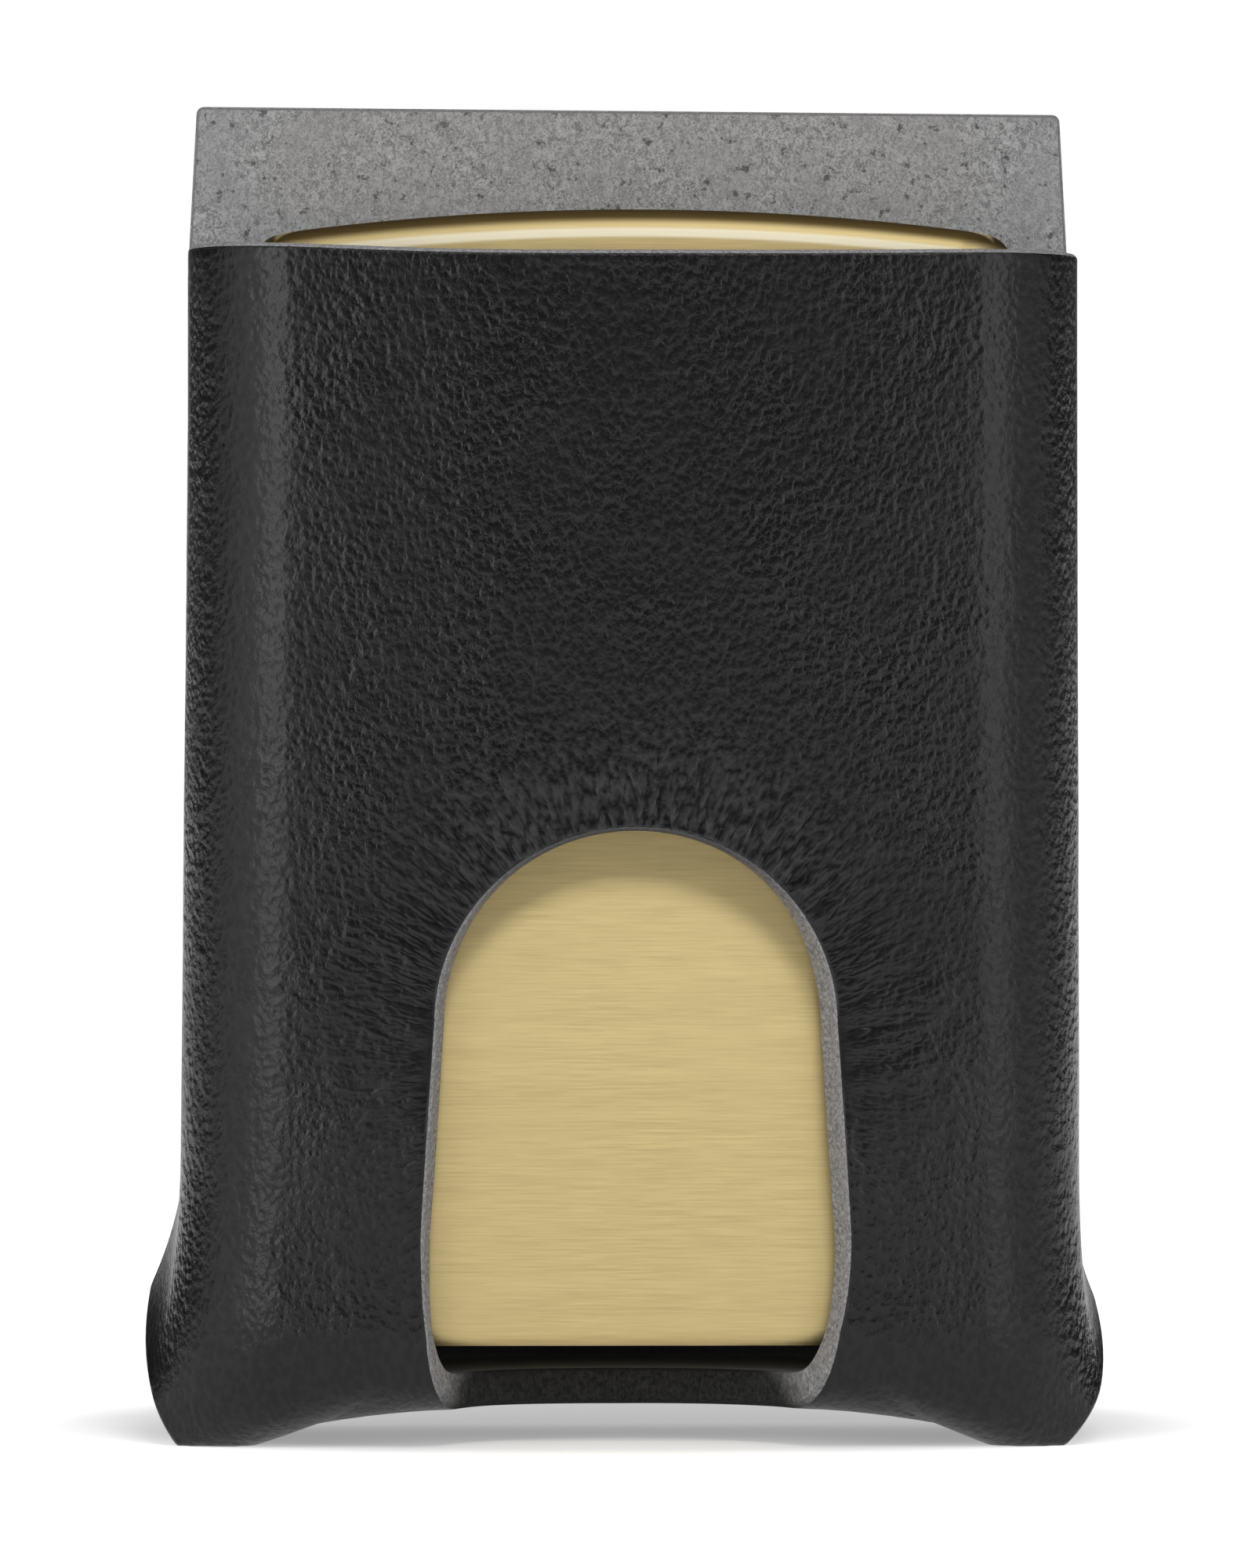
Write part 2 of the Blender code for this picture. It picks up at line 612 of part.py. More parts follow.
def make_cam_spring(steel):
    """A leaf that lies on the deck and bends up to the cam's heel."""
    _nose, (heel_x, heel_z) = cam_points()
    tip_top = heel_z - CAM_NOSE_RADIUS - CLEARANCE
    root_z = DECK_Z + CLEARANCE
    root_x = INSERT_LEFT + INSERT_WALL
    bend_x = (root_x + heel_x) / 2
    tip_x = heel_x + CAM_NOSE_RADIUS
    under = [(root_x, root_z), (bend_x, root_z), (tip_x, tip_top - SPRING_LEAF_THICKNESS)]
    over = [(x, z + SPRING_LEAF_THICKNESS) for x, z in reversed(under)]
    half = SPRING_LEAF_WIDTH / 2
    return plate_y("cam_spring", under + over, -half, half, steel)


def make_flint(dark):
    profile = [(FLINT_RADIUS, FLINT_TOP - FLINT_LENGTH), (FLINT_RADIUS, FLINT_TOP)]
    return turned_z("flint", profile, SMALL_SIDES, dark, WHEEL_X)


def make_flint_spring(steel):
    radius = FLINT_TUBE_BORE - CLEARANCE - FLINT_SPRING_WIRE / 2
    low = FLINT_TUBE_FOOT + SCREW_SHANK_LENGTH + CLEARANCE + FLINT_SPRING_WIRE / 2
    high = FLINT_TOP - FLINT_LENGTH - CLEARANCE - FLINT_SPRING_WIRE / 2
    steps = int((high - low) / FLINT_SPRING_PITCH * 8)
    points = []
    for i in range(steps + 1):
        angle = QUARTER / 2 * i
        points.append((WHEEL_X + radius * math.cos(angle), radius * math.sin(angle),
                       low + (high - low) * i / steps))
    print("flint spring gap, mm:", (FLINT_SPRING_PITCH - FLINT_SPRING_WIRE) / MM)
    return tube_along("flint_spring", points, FLINT_SPRING_WIRE / 2, 5, steel)


def make_flint_screw(brass):
    shank = FLINT_TUBE_BORE - CLEARANCE
    profile = [(SCREW_HEAD_RADIUS, INSERT_FOOT), (SCREW_HEAD_RADIUS, SCREW_HEAD_TOP),
               (shank, SCREW_HEAD_TOP), (shank, FLINT_TUBE_FOOT + SCREW_SHANK_LENGTH)]
    screw = turned_z("flint_screw", profile, ROUND_SIDES, brass, WHEEL_X)
    reach = SCREW_HEAD_RADIUS + OVERRUN
    half = SCREW_SLOT_WIDTH / 2
    cut(screw, block("screw_slot", (WHEEL_X - reach, -half, INSERT_FOOT - OVERRUN),
                     (WHEEL_X + reach, half, INSERT_FOOT + SCREW_SLOT_DEPTH)))
    return screw


def wick_path():
    top, tail = DECK_Z + WICK_PROUD, DECK_Z - WICK_TAIL
    points = [(WICK_X, 0, top), (WICK_X, 0, DECK_Z)]
    steps = FACE_STEPS
    for i in range(1, steps + 1):
        share = i / steps
        sway = WICK_SWAY * math.sin(2 * math.pi * share) * share
        points.append((WICK_X + sway, 0, DECK_Z + (tail - DECK_Z) * share))
    return points


def make_packing(cotton, felt):
    """Wadding and felt pad, both cut to pass the flint tube, and the wick."""
    inset = INSERT_WALL + CLEARANCE
    left, right = INSERT_LEFT + inset, INSERT_RIGHT - inset
    half = INSERT_HALF_DEPTH - inset
    corner = INSERT_CORNER - inset
    felt_top = INSERT_FOOT + FELT_THICKNESS

    def pad(name, low, high, finish):
        outline = rounded_outline(left, right, half, corner, 0)
        return object_from(name, loft([[(x, y, z) for x, y in outline] for z in (low, high)]), finish)

    wadding = pad("cotton_wadding", felt_top + CLEARANCE, DECK_Z - inset, cotton)
    pad_hole = SCREW_HEAD_RADIUS + CLEARANCE
    tube_hole = FLINT_TUBE_RADIUS + CLEARANCE
    felt_pad = pad("felt_pad", INSERT_FOOT, felt_top, felt)
    cut(felt_pad, turned_z("felt_hole", [(pad_hole, INSERT_FOOT - OVERRUN),
                                         (pad_hole, felt_top + OVERRUN)],
                           ROUND_SIDES, None, WHEEL_X))
    cut(wadding, turned_z("wadding_hole", [(tube_hole, felt_top - OVERRUN),
                                           (tube_hole, DECK_Z + OVERRUN)],
                          ROUND_SIDES, None, WHEEL_X))
    cut(wadding, tube_along("wick_way", wick_path(), WICK_RADIUS + CLEARANCE, SMALL_SIDES, None))
    wick = tube_along("wick", wick_path()[:-1], WICK_RADIUS, SMALL_SIDES, cotton)
    return [wadding, felt_pad, wick]


def smooth(share):
    share = min(max(share, 0.0), 1.0)
    return share * share * (3 - 2 * share)


def walk(path, distance):
    """Where a path of straights and arcs, each (length, turn), gets to."""
    x = y = heading = 0.0
    for i, (length, turn) in enumerate(path):
        last = i == len(path) - 1
        step = distance if last else min(distance, length)
        bend = turn / length
        if turn:
            ahead = heading + bend * step
            x += (math.sin(ahead) - math.sin(heading)) / bend
            y += (math.cos(heading) - math.cos(ahead)) / bend
            heading = ahead
        else:
            x += math.cos(heading) * step
            y += math.sin(heading) * step
        distance -= step
        if distance <= 0:
            break
    return x, y


def ear_share(u):
    """How far u has got from the middle stretch of the fold to an ear, 0 to 1."""
    round_half = FOLD_ROUND_LEFT if u < 0 else FOLD_ROUND_RIGHT
    share = (abs(u) - FOLD_SQUARE_HALF) / (round_half - FOLD_SQUARE_HALF)
    return min(max(share, 0.0), 1.0)


def fold_radius(u):
    """The bottom fold is square in the middle and round at the ears."""
    share = ear_share(u)
    return FOLD_RADIUS + (FOLD_HALF - FOLD_RADIUS) * share * share


def folded_strip(u, v):
    """The blank bent only under the lighter, up the front and up the back."""
    radius = fold_radius(u)
    level = FLOOR_Z - (2 - QUARTER) * (radius - FOLD_RADIUS)
    path = [(FOLD_HALF - radius + DERIVATIVE_STEP, 0), (QUARTER * radius, QUARTER), (1, 0)]
    out, up = walk(path, abs(v))
    return Vector((u, FOLD_Y - math.copysign(out, v), level + up))


def wrap_path(half, crown):
    """Round the lighter from the middle of the front to the turned-in flange."""
    face = half - SHOULDER_RADIUS * (1 - math.sin(crown))
    shoulder = QUARTER - crown
    side = FLANGE_Y - BACK_BEND_RADIUS - SHOULDER_Y - SHOULDER_RADIUS * math.cos(crown)
    return [(face * crown / math.sin(crown), crown), (SHOULDER_RADIUS * shoulder, shoulder),
            (side, 0), (BACK_BEND_RADIUS * QUARTER, QUARTER), (1, 0)]


def wrapped(u, v, half, crown):
    """The blank bent only round the lighter's sides."""
    face = half - SHOULDER_RADIUS * (1 - math.sin(crown))
    across, back = walk(wrap_path(half, crown), abs(u))
    return Vector((math.copysign(across, u), SHOULDER_Y - face * math.tan(crown / 2) + back,
                   v - FOLD_LIFT))


def by_side(u, left, right):
    """A value that goes over from its left to its right amount across the blank."""
    share = smooth(0.5 + u / STRIP_HALF_WIDTH / 2)
    return left + (right - left) * share


def sheet_point(u, v):
    """Where the middle of the leather at (u, v) on the flat blank lies when folded."""
    end = by_side(u, EAR_END_LEFT, EAR_END_RIGHT)
    power = by_side(u, EAR_POWER_LEFT, EAR_POWER_RIGHT)
    start = FOLD_HOLD + (EAR_START - FOLD_HOLD) * smooth(ear_share(u))
    share = 1.0 if v <= start else max(0.0, (end - v) / (end - start)) ** power
    z = v - FOLD_LIFT
    belly = math.exp(-((z - BELLY_HEIGHT) / BELLY_SPAN) ** 2)
    low = 1 - smooth((z + CLEARANCE) / FRONT_HEIGHT)
    half = SLEEVE_HALF + by_side(u, SPREAD_LEFT, SPREAD_RIGHT) * low
    strip = folded_strip(u, v)
    if share >= 1.0:
        return strip
    return wrapped(u, v, half, CROWN_ANGLE + BELLY_ANGLE * belly).lerp(strip, share)


def sheet_surface(u, v, offset):
    """A point of the grain side (offset above zero) or the flesh side."""
    step = DERIVATIVE_STEP
    across = sheet_point(u + step, v) - sheet_point(u - step, v)
    along = sheet_point(u, v + step) - sheet_point(u, v - step)
    return sheet_point(u, v) + across.cross(along).normalized() * offset


def wing_width(v):
    """Half the blank's width above the ears, where the wing gains its turned-in flange."""
    lengths = [length for length, _turn in wrap_path(SLEEVE_HALF, CROWN_ANGLE)]
    flange = lengths[3] + FLANGE_WIDTH
    return sum(lengths[:3]) + min(max(v - FLANGE_START, 0.0), flange)


def blank_edge(v, side):
    """Half the blank's width at v; side is -1 left and 1 right."""
    at_fold = FOLD_HALF_WIDTH_LEFT if side < 0 else FOLD_HALF_WIDTH_RIGHT
    if v > WING_CUT_START:
        sweep = WING_SWEEP_LEFT if side < 0 else WING_SWEEP_RIGHT
        return min(at_fold + (v - WING_CUT_START) ** 2 / sweep / 2, wing_width(v))
    corner = LIP_CORNER - (v + LIP_TOP_V)
    if corner > 0:
        return STRIP_HALF_WIDTH - LIP_CORNER + math.sqrt(max(LIP_CORNER ** 2 - corner ** 2, 0))
    below = min((v + LIP_TOP_V - LIP_CORNER) / LIP_HEIGHT, 1.0)
    at_back = STRIP_HALF_WIDTH + LIP_WIDENING * below
    return at_back + (at_fold - at_back) * smooth(1 + v / FOLD_RUN)


def hole_edge(v, side):
    """Half the thumb hole's width at v, zero where there is none."""
    if HOLE_END < v < HOLE_LOW_V:
        power = HOLE_LOW_POWER_LEFT if side < 0 else HOLE_LOW_POWER_RIGHT
        share = (HOLE_LOW_V - v) / HOLE_LOW_RISE
        return HOLE_LOW_HALF * (1 - share ** power) ** (1 / power)
    if HOLE_LOW_V <= v <= HOLE_ARCH_V:
        share = (v - HOLE_LOW_V) / HOLE_SIDE
        return HOLE_LOW_HALF + (HOLE_ARCH_HALF - HOLE_LOW_HALF) * share
    if HOLE_ARCH_V < v < HOLE_TOP_V:
        return HOLE_ARCH_HALF * math.sqrt(1 - ((v - HOLE_ARCH_V) / HOLE_ARCH_RISE) ** 2)
    return 0.0


def columns(v, side):
    """Distances from the middle where the blank's columns lie at v."""
    hole, edge = hole_edge(v, side), blank_edge(v, side)
    apart = HOLE_LOW_HALF + LEATHER_THICKNESS
    made = [hole + (apart - hole) * j / NEAR_COLUMNS for j in range(NEAR_COLUMNS)]
    return made + [apart + (edge - apart) * share for share in FAR_COLUMN_SHARES]


def spaced(low, high, count):
    return [low + (high - low) * i / count for i in range(count)]


def eased(low, high, count):
    """Closer together near the low end, for a rounded hole end."""
    return [low + (high - low) * (1 - math.cos(QUARTER * i / count)) for i in range(count)]


def sheet_rows():
    """Heights on the blank where its rows of faces lie, from lip to front top."""
    fold = -FOLD_HALF * QUARTER
    lip_side = LIP_CORNER - LIP_TOP_V
    rows = eased(-LIP_TOP_V, lip_side, 3)
    rows += [lip_side] + spaced(lip_side + LIP_HEIGHT, fold, 3)
    rows += spaced(fold, WING_CUT_START, 8)
    rows += spaced(WING_CUT_START, HOLE_END, 1)
    rows += eased(HOLE_END, HOLE_LOW_V, 9)
    rows += spaced(HOLE_LOW_V, HOLE_ARCH_V, 8)
    rows += [HOLE_TOP_V + HOLE_ARCH_V - v for v in reversed(eased(HOLE_ARCH_V, HOLE_TOP_V, 6)[1:])]
    rows.insert(-5, HOLE_ARCH_V)
    rows += spaced(HOLE_TOP_V, FRONT_TOP_V, 4) + [FRONT_TOP_V]
    return rows


def trim(u, v):
    """How the top edges are cut: the front higher at its ends, the lip aslant."""
    if v < -FOLD_RUN:
        return LIP_SLANT * u / STRIP_HALF_WIDTH * (v + FOLD_RUN) / (FOLD_RUN - LIP_TOP_V)
    share = max(0.0, (v - HOLE_TOP_V) / (FRONT_TOP_V - HOLE_TOP_V))
    rise = FRONT_RISE_LEFT if u < 0 else FRONT_RISE_RIGHT
    return rise * share * smooth(abs(u) / STRIP_HALF_WIDTH) ** 2


def make_leather_case(leather):
    """One blank, folded under the lighter and wrapped round its sides."""
    bm = bmesh.new()
    rows = sheet_rows()
    skins = []
    for offset in (LEATHER_THICKNESS / 2, -LEATHER_THICKNESS / 2):
        skin = []
        for v in rows:
            hole = hole_edge(v, 1)
            line = {}
            for side in (-1, 1):
                for j, distance in enumerate(columns(v, side)):
                    if side > 0 and j == 0 and hole == 0:
                        line[side, j] = line[-1, 0]
                        continue
                    u = side * distance
                    point = sheet_surface(u, v + trim(u, v), offset)
                    line[side, j] = bm.verts.new(point)
            skin.append(line)
        skins.append(skin)
    ground = min(v.co.z for v in bm.verts) + EAR_FLAT_DEPTH
    for vert in bm.verts:
        vert.co.z = max(vert.co.z, ground)
    twin = {}
    for outer_line, inner_line in zip(*skins):
        for key, vert in outer_line.items():
            twin[vert] = inner_line[key]
    for low, high in zip(skins[0], skins[0][1:]):
        for side in (-1, 1):
            for j in range(NEAR_COLUMNS + len(FAR_COLUMN_SHARES) - 1):
                ring = (low[side, j], low[side, j + 1], high[side, j + 1], high[side, j])
                bm.faces.new(ring if side > 0 else ring[::-1])
    bm.edges.ensure_lookup_table()
    rim = [e for e in bm.edges if len(e.link_faces) == 1]
    for face in list(bm.faces):
        bm.faces.new([twin[v] for v in reversed(face.verts)])
    for edge in rim:
        a, b = edge.verts
        bm.faces.new((a, b, twin[b], twin[a]))
    corners = [v.co.copy() for v in bm.verts]
    case = object_from("leather_case", bm, leather)
    middle = [(min(c[i] for c in corners) + max(c[i] for c in corners)) / 2 for i in (0, 1)]
    return case, Vector((-middle[0], -middle[1], -ground))


def empty(name, parent=None):
    made = bpy.data.objects.new(name, None)
    made.parent = parent
    bpy.context.scene.collection.objects.link(made)
    return made


def main():
    clear_scene()
    black_leather = material("black_leather", (0.016, 0.015, 0.015), 0.5, 0.0)
    brass = material("brushed_brass", (0.60, 0.46, 0.22), 0.3, 1.0)
    steel = material("bright_steel", (0.62, 0.61, 0.6), 0.25, 1.0)
    dark_steel = material("dark_steel", (0.2, 0.2, 0.2), 0.4, 1.0)
    flint_grey = material("flint_grey", (0.12, 0.12, 0.12), 0.7, 0.0)
    cotton = material("cotton", (0.8, 0.77, 0.7), 0.95, 0.0)
    felt = material("felt", (0.75, 0.72, 0.66), 0.95, 0.0)

    case, to_ground = make_leather_case(black_leather)
    lighter = [
        make_lower_shell(brass), make_lid_shell(brass),
        make_hinge_leaf("hinge_lower_leaf", -1, (0, 2, 4), brass),
        make_hinge_leaf("hinge_lid_leaf", 1, (1, 3), brass),
        make_hinge_pin(steel), make_insert_shell(steel), make_chimney(steel),
        make_rivet("wheel_axle", WHEEL_X, WHEEL_Z, steel),
        make_rivet("cam_axle", CAM_X, CAM_Z, steel),
        make_spark_wheel(dark_steel), make_cam(steel), make_cam_spring(steel),
        make_flint(flint_grey), make_flint_spring(steel), make_flint_screw(brass),
        pipe_z("flint_tube", WHEEL_X, FLINT_TUBE_BORE, FLINT_TUBE_RADIUS, FLINT_TUBE_FOOT,
               FLINT_TUBE_TOP, ROUND_SIDES, brass),
    ]
    lighter += make_packing(cotton, felt)

    whole = empty("whole_part")
    lighter_frame = empty("lighter_frame", whole)
    case.parent = whole
    cutters = [o for o in bpy.data.objects if o.type == "MESH" and o.hide_render]
    for piece in lighter + cutters:
        piece.parent = lighter_frame
    whole.location = to_ground
    bpy.context.view_layer.update()


main()
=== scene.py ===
"""Looks of a black leather slip case that holds a brass flip-top petrol lighter.

Lengths are in millimetres until a mesh is written, which is in metres. The leather
is laid out on its flat blank, u across and v along, and folded by the same rules
as its solid.
"""
import json
import math

import bmesh
import bpy
import numpy as np
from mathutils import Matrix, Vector, kdtree, noise


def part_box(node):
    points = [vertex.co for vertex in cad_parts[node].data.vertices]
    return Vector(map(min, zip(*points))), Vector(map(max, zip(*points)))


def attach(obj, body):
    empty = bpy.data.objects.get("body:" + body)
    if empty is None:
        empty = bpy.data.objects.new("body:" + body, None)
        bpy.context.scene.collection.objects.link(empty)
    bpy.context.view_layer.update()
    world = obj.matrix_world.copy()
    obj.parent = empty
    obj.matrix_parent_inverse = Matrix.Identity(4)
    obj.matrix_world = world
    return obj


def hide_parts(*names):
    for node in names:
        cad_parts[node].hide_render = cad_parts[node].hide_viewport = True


MM = 0.001
QUARTER = math.pi / 2

# Lighter, as in its solid
LIGHTER_WIDTH = 38.1
LIGHTER_DEPTH = 13.0
LOWER_SHELL_HEIGHT = 36.4
LID_HEIGHT = 20.4
SPLIT_GAP = 0.3
SHELL_WALL = 0.8
SHELL_CORNER = 2.8
LID_EDGE_RADIUS = 1.1
LOWER_EDGE_RADIUS = 0.9
LID_CROWN_RADIUS = 131.0
HINGE_LENGTH = 8.4
HINGE_BARREL_RADIUS = 1.1
HINGE_LEAF_THICKNESS = 0.5
CLEARANCE = 0.3

# Leather, as in its solid
LEATHER_THICKNESS = 1.8
FOLD_GAP = 1.35
FRONT_GAP = 0.45
BARREL_GAP = 1.05
FRONT_FOLD_GAP = 1.0
SHOULDER_RADIUS = 5.5
BACK_BEND_RADIUS = 1.8
FLANGE_WIDTH = 8.0
PLY_GAP = 0.3
FRONT_DROP = 2.25
FRONT_RISE_LEFT = 0.5
FRONT_RISE_RIGHT = 0.15
LIP_HEIGHT = 8.3
LIP_WIDENING = 0.45
LIP_CORNER = 0.4
LIP_SLANT = 0.18
LIP_INSET = 0.1
FOLD_INSET_LEFT = 0.2
FOLD_INSET_RIGHT = 2.2
FOLD_RADIUS = 2.9
FOLD_SQUARE_HALF = 7.0
FOLD_ROUND_INSET_LEFT = 0.1
FOLD_ROUND_INSET_RIGHT = 1.2
EAR_START = 1.0
EAR_END_LEFT = 20.0
EAR_END_RIGHT = 20.0
EAR_POWER_LEFT = 2.0
EAR_POWER_RIGHT = 2.6
WING_SWEEP_LEFT = 6.2
WING_SWEEP_RIGHT = 4.6
WING_CUT_START = 0.6
FLANGE_START = 19.0
FOLD_HOLD = 12.0
SPREAD_LEFT = 0.4
SPREAD_RIGHT = 0.1
CROWN_ANGLE = math.radians(6.0)
BELLY_ANGLE = math.radians(4.0)
BELLY_HEIGHT = 9.0
BELLY_SPAN = 10.0
HOLE_ARCH_HALF = 9.8
HOLE_ARCH_RISE = 9.6
HOLE_LOW_HALF = 10.5
HOLE_LOW_RISE = 12.8
HOLE_LOW_POWER_LEFT = 3.0
HOLE_LOW_POWER_RIGHT = 2.3
HOLE_SIDE = 10.6
HOLE_END = 3.0
DERIVATIVE_STEP = 0.02

# Cut edges: how far they are rounded on either side, how far inwards the skin gives way
# to the rounding, and how steeply the relief dies away there
EDGE_ROUND = 0.3
FLESH_ROUND = 0.15
EDGE_EASE = 1.4
EDGE_FADE_POWER = 4

# Slant of the thumb hole's cut, and where it begins and fades
HOLE_SLANT_LEFT = 0.18
HOLE_SLANT_RIGHT = 0.5
HOLE_SLANT_START = 1.0
HOLE_SLANT_RUN = 7.0
HOLE_SLANT_TOP_RUN = 8.0

# Rings of a cut edge: on the rounded skin, on the bare cut, on the rounded flesh side
ROUND_RINGS = 4
CUT_RINGS = 3
FLESH_RINGS = 3

# Places put in between two of the border's, to find the nearest one
RIM_STEPS = 10

# Columns of the leather's mesh, and where the finer ones by the hole end
NEAR_COLUMNS = 30
NEAR_REACH = 17.0
FAR_COLUMNS = 72

# Rows of the leather's mesh: how many, or how far apart
LIP_CORNER_ROWS = 6
LIP_RUN = 10.0
LIP_PITCH = 0.5
BACK_PITCH = 1.0
FOLD_PITCH = 0.5
LOW_PITCH = 0.4
HOLE_LOW_ROWS = 42
HOLE_ARCH_ROWS = 36
FRONT_PITCH = 0.35

# Relief of the leather: waves per millimetre across and along, seed, and height; and how
# far from the fold and from the middle it lasts
SWELLS = ((0.16, 0.09, 3.1, 0.055), (0.5, 0.3, 7.7, 0.012), (1.35, 0.8, 0.4, 0.012))
CREASE = (1.15, 0.42, 1.9, 0.075)
RELIEF_START = 1.0
RELIEF_RUN = 6.0
RELIEF_HALF = 27.0
RELIEF_SIDE_RUN = 5.0

# Creases lie round the hole's arch: where they rise, how fast they fade with distance,
# and how far round they go
CREASE_START = 8.5
CREASE_RISE = 2.5
CREASE_FADE = 5.0
CREASE_TURN = 25.0
CREASE_TURN_RUN = 6.25
CREASE_LEAST = 0.02

# Spans of the two maps: flat millimetres, and rays round the thumb hole
FLAT_SPAN = 160.0
RIM_MAP_START = 0.2
RIM_MAP_STEP = 0.25
RAY_CENTRE_RISE = -2.0
RAY_TURN_RADIUS = 12.0
RAY_SPAN = 100.0

# Mesh of the brass shells
SHELL_LIP = 0.12
SHELL_LIP_BREAK = 0.3
SHELL_EDGE_STEPS = 12
SHELL_CORNER_STEPS = 12
SHELL_FACE_STEPS = 40
LEAST_RADIUS = 0.3
NOTCH_REACH = 2.0
SHARP_ANGLE = math.radians(40)

# Soft pieces: size of their faces, how deep their fluff sinks, and its waves per millimetre
COTTON_FLUFF = (0.5, 0.7, 0.45)
WICK_FLUFF = (0.16, 0.22, 2.0)
FELT_FLUFF = (0.3, 0.14, 1.6)

# Octaves of the fluff: how fast they weaken, how much finer each is, and how many; and the
# smoothing of the faces: how strong and how often
FLUFF_OCTAVES = (0.8, 2.0, 3)
SMOOTHING = (0.5, 3)

# The wick's strands: how many, their turn per millimetre, and how much they count
WICK_STRANDS = 3
STRAND_TWIST = 2.2
STRAND_SHARE = 0.7
FLUFF_SHARE = 0.3

# Textures: waves per millimetre in each direction, detail, roughness and distortion
GRAIN_ROUGH = ((3.5, 2.5, 1.0), 2.0, 0.5, 0.0)
GRAIN_STREAKS = ((3.2, 1.1, 1.0), 1.0, 0.5, 0.3)
GRAIN_PATCHES = ((0.2, 0.14, 1.0), 2.0, 0.5, 0.0)
FLESH_FIBRES = ((3.2, 2.4, 1.0), 4.0, 0.7, 1.2)
FLESH_NAP = ((9.0, 9.0, 1.0), 2.0, 0.6, 0.0)
FLESH_CLOUDS = ((0.3, 0.3, 1.0), 2.0, 0.5, 0.0)
FLESH_SPECKS = ((1.4, 1.4, 1.0), 3.0, 0.7, 0.0)
CUT_FIBRES = ((5.0, 5.0, 1.0), 4.0, 0.7, 0.8)
BRASS_LINES = ((0.3, 0.3, 10.0), 3.0, 0.65, 0.0)
BRASS_BANDS = ((0.07, 0.07, 1.9), 2.0, 0.5, 0.0)
BRASS_HAZE = ((0.12, 0.12, 0.12), 2.0, 0.5, 0.0)
STEEL_LINES = ((0.5, 0.5, 4.0), 3.0, 0.6, 0.0)
WHEEL_LINES = ((3.0, 3.0, 3.0), 3.0, 0.6, 0.0)
STEEL_HAZE = ((0.6, 0.6, 0.6), 2.0, 0.5, 0.0)
FLINT_PORES = ((6.0, 6.0, 6.0), 4.0, 0.7, 0.0)
COTTON_FIBRES = ((1.4, 1.4, 1.4), 5.0, 0.7, 1.0)
FELT_FIBRES = ((3.0, 3.0, 3.0), 5.0, 0.7, 1.0)

# Values between which most of a noise lies
NOISE_RANGE = (0.3, 0.7)
LINES_RANGE = (0.25, 0.75)

# Pebbles of the skin: waves of the noise that shifts them, how far, how many, how soft
PEBBLE_WANDER = (0.9, 0.7, 1.0)
PEBBLE_SHIFT = (0.5, 0.5, 0.0)
PEBBLES = (2.9, 2.1, 1.0)
PEBBLE_SOFTNESS = 0.6

# Skin: share of its rough noise, heights between which its pits end, depth of its patches
GRAIN_ROUGH_SHARE = 0.55
PIT_HEIGHTS = (0.40, 0.62)
PATCH_DEPTHS = (0.7, 1.0)

# Distance from the arch's middle where streaks replace the pebbles, and where the hole's
# edge is plain; the turn within which the streaks are painted lighter grey, a painted highlight
# above the arch
PULL_REACH = (20.0, 12.5)
PLAIN_REACH = (10.1, 11.2)
FAN_HIGHLIGHT_TURN = (13.0, 5.0)
STREAK_SHARE = 0.7

# Shine of the skin: the height's share in it, its range and the roughness it maps to
GLOSS_HEIGHT = 0.2
GRAIN_GLOSS = (0.4, 0.9, 0.30, 0.24)
SKIN_SPECULAR = 0.29

# Flesh side: shares of its textures, and where specks and clouds set in; and over what run
# past the fold, and how strongly, painted shade blackens it inside the fold
FIBRE_SHARE = 0.6
NAP_SHARE = 0.4
FLESH_TONES = (0.35, 0.65)
SPECK_RANGE = (0.32, 0.42)
SPECK_SHARE = 0.75
CLOUD_SHARE = 0.45
FOLD_SHADE_RUN = 6.0
FOLD_SHADE_SHARE = 0.9

# Matt surfaces: how little they shine
FLESH_MATT = {"Specular IOR Level": 0.1, "Sheen Weight": 0.15, "Sheen Roughness": 0.6}
CUT_MATT = {"Specular IOR Level": 0.15}
SOFT_MATT = {"Specular IOR Level": 0.1, "Sheen Weight": 0.3, "Sheen Roughness": 0.5}

# Brass: shares of its broad lines, haze, painted arris highlight and painted edge shade, and
# its roughness
BANDS_SHARE = 0.2
HAZE_SHARE = 0.3
ARRIS_HIGHLIGHT_SHARE = 0.65
LID_SHADE_SHARE = 0.92
BRASS_ROUGH = (0.45, 0.54)
BRUSHING = 0.7

# Steel: the range of its roughness, as shares of its own
STEEL_RANGE = (0.8, 1.35)
BRIGHT_ROUGH = 0.2
DARK_ROUGH = 0.4

# Slopes of the painted arris highlight and of the painted edge shade, down from the lid's
# crown and in from its sides
ARRIS_HIGHLIGHT_RISE = (LID_EDGE_RADIUS * 0.8, LID_EDGE_RADIUS)
ARRIS_HIGHLIGHT_FALL = (LID_EDGE_RADIUS * 1.4, LID_EDGE_RADIUS * 1.2)
LID_SHADE_IN = (LID_EDGE_RADIUS * 1.1, LID_EDGE_RADIUS * 0.8)
LID_SHADE_DOWN = (LID_EDGE_RADIUS * 0.85, LID_EDGE_RADIUS * 0.35)

# Bumps: depth in millimetres, and strength
GRAIN_BUMP = (0.19, 0.55)
FLESH_BUMP = (0.10, 0.7)
CUT_BUMP = (0.12, 0.8)
BRASS_BUMP = (0.012, 0.5)
STEEL_BUMP = (0.006, 0.5)
SOFT_BUMP = (0.25, 0.9)
FLINT_BUMP = (0.05, 0.8)

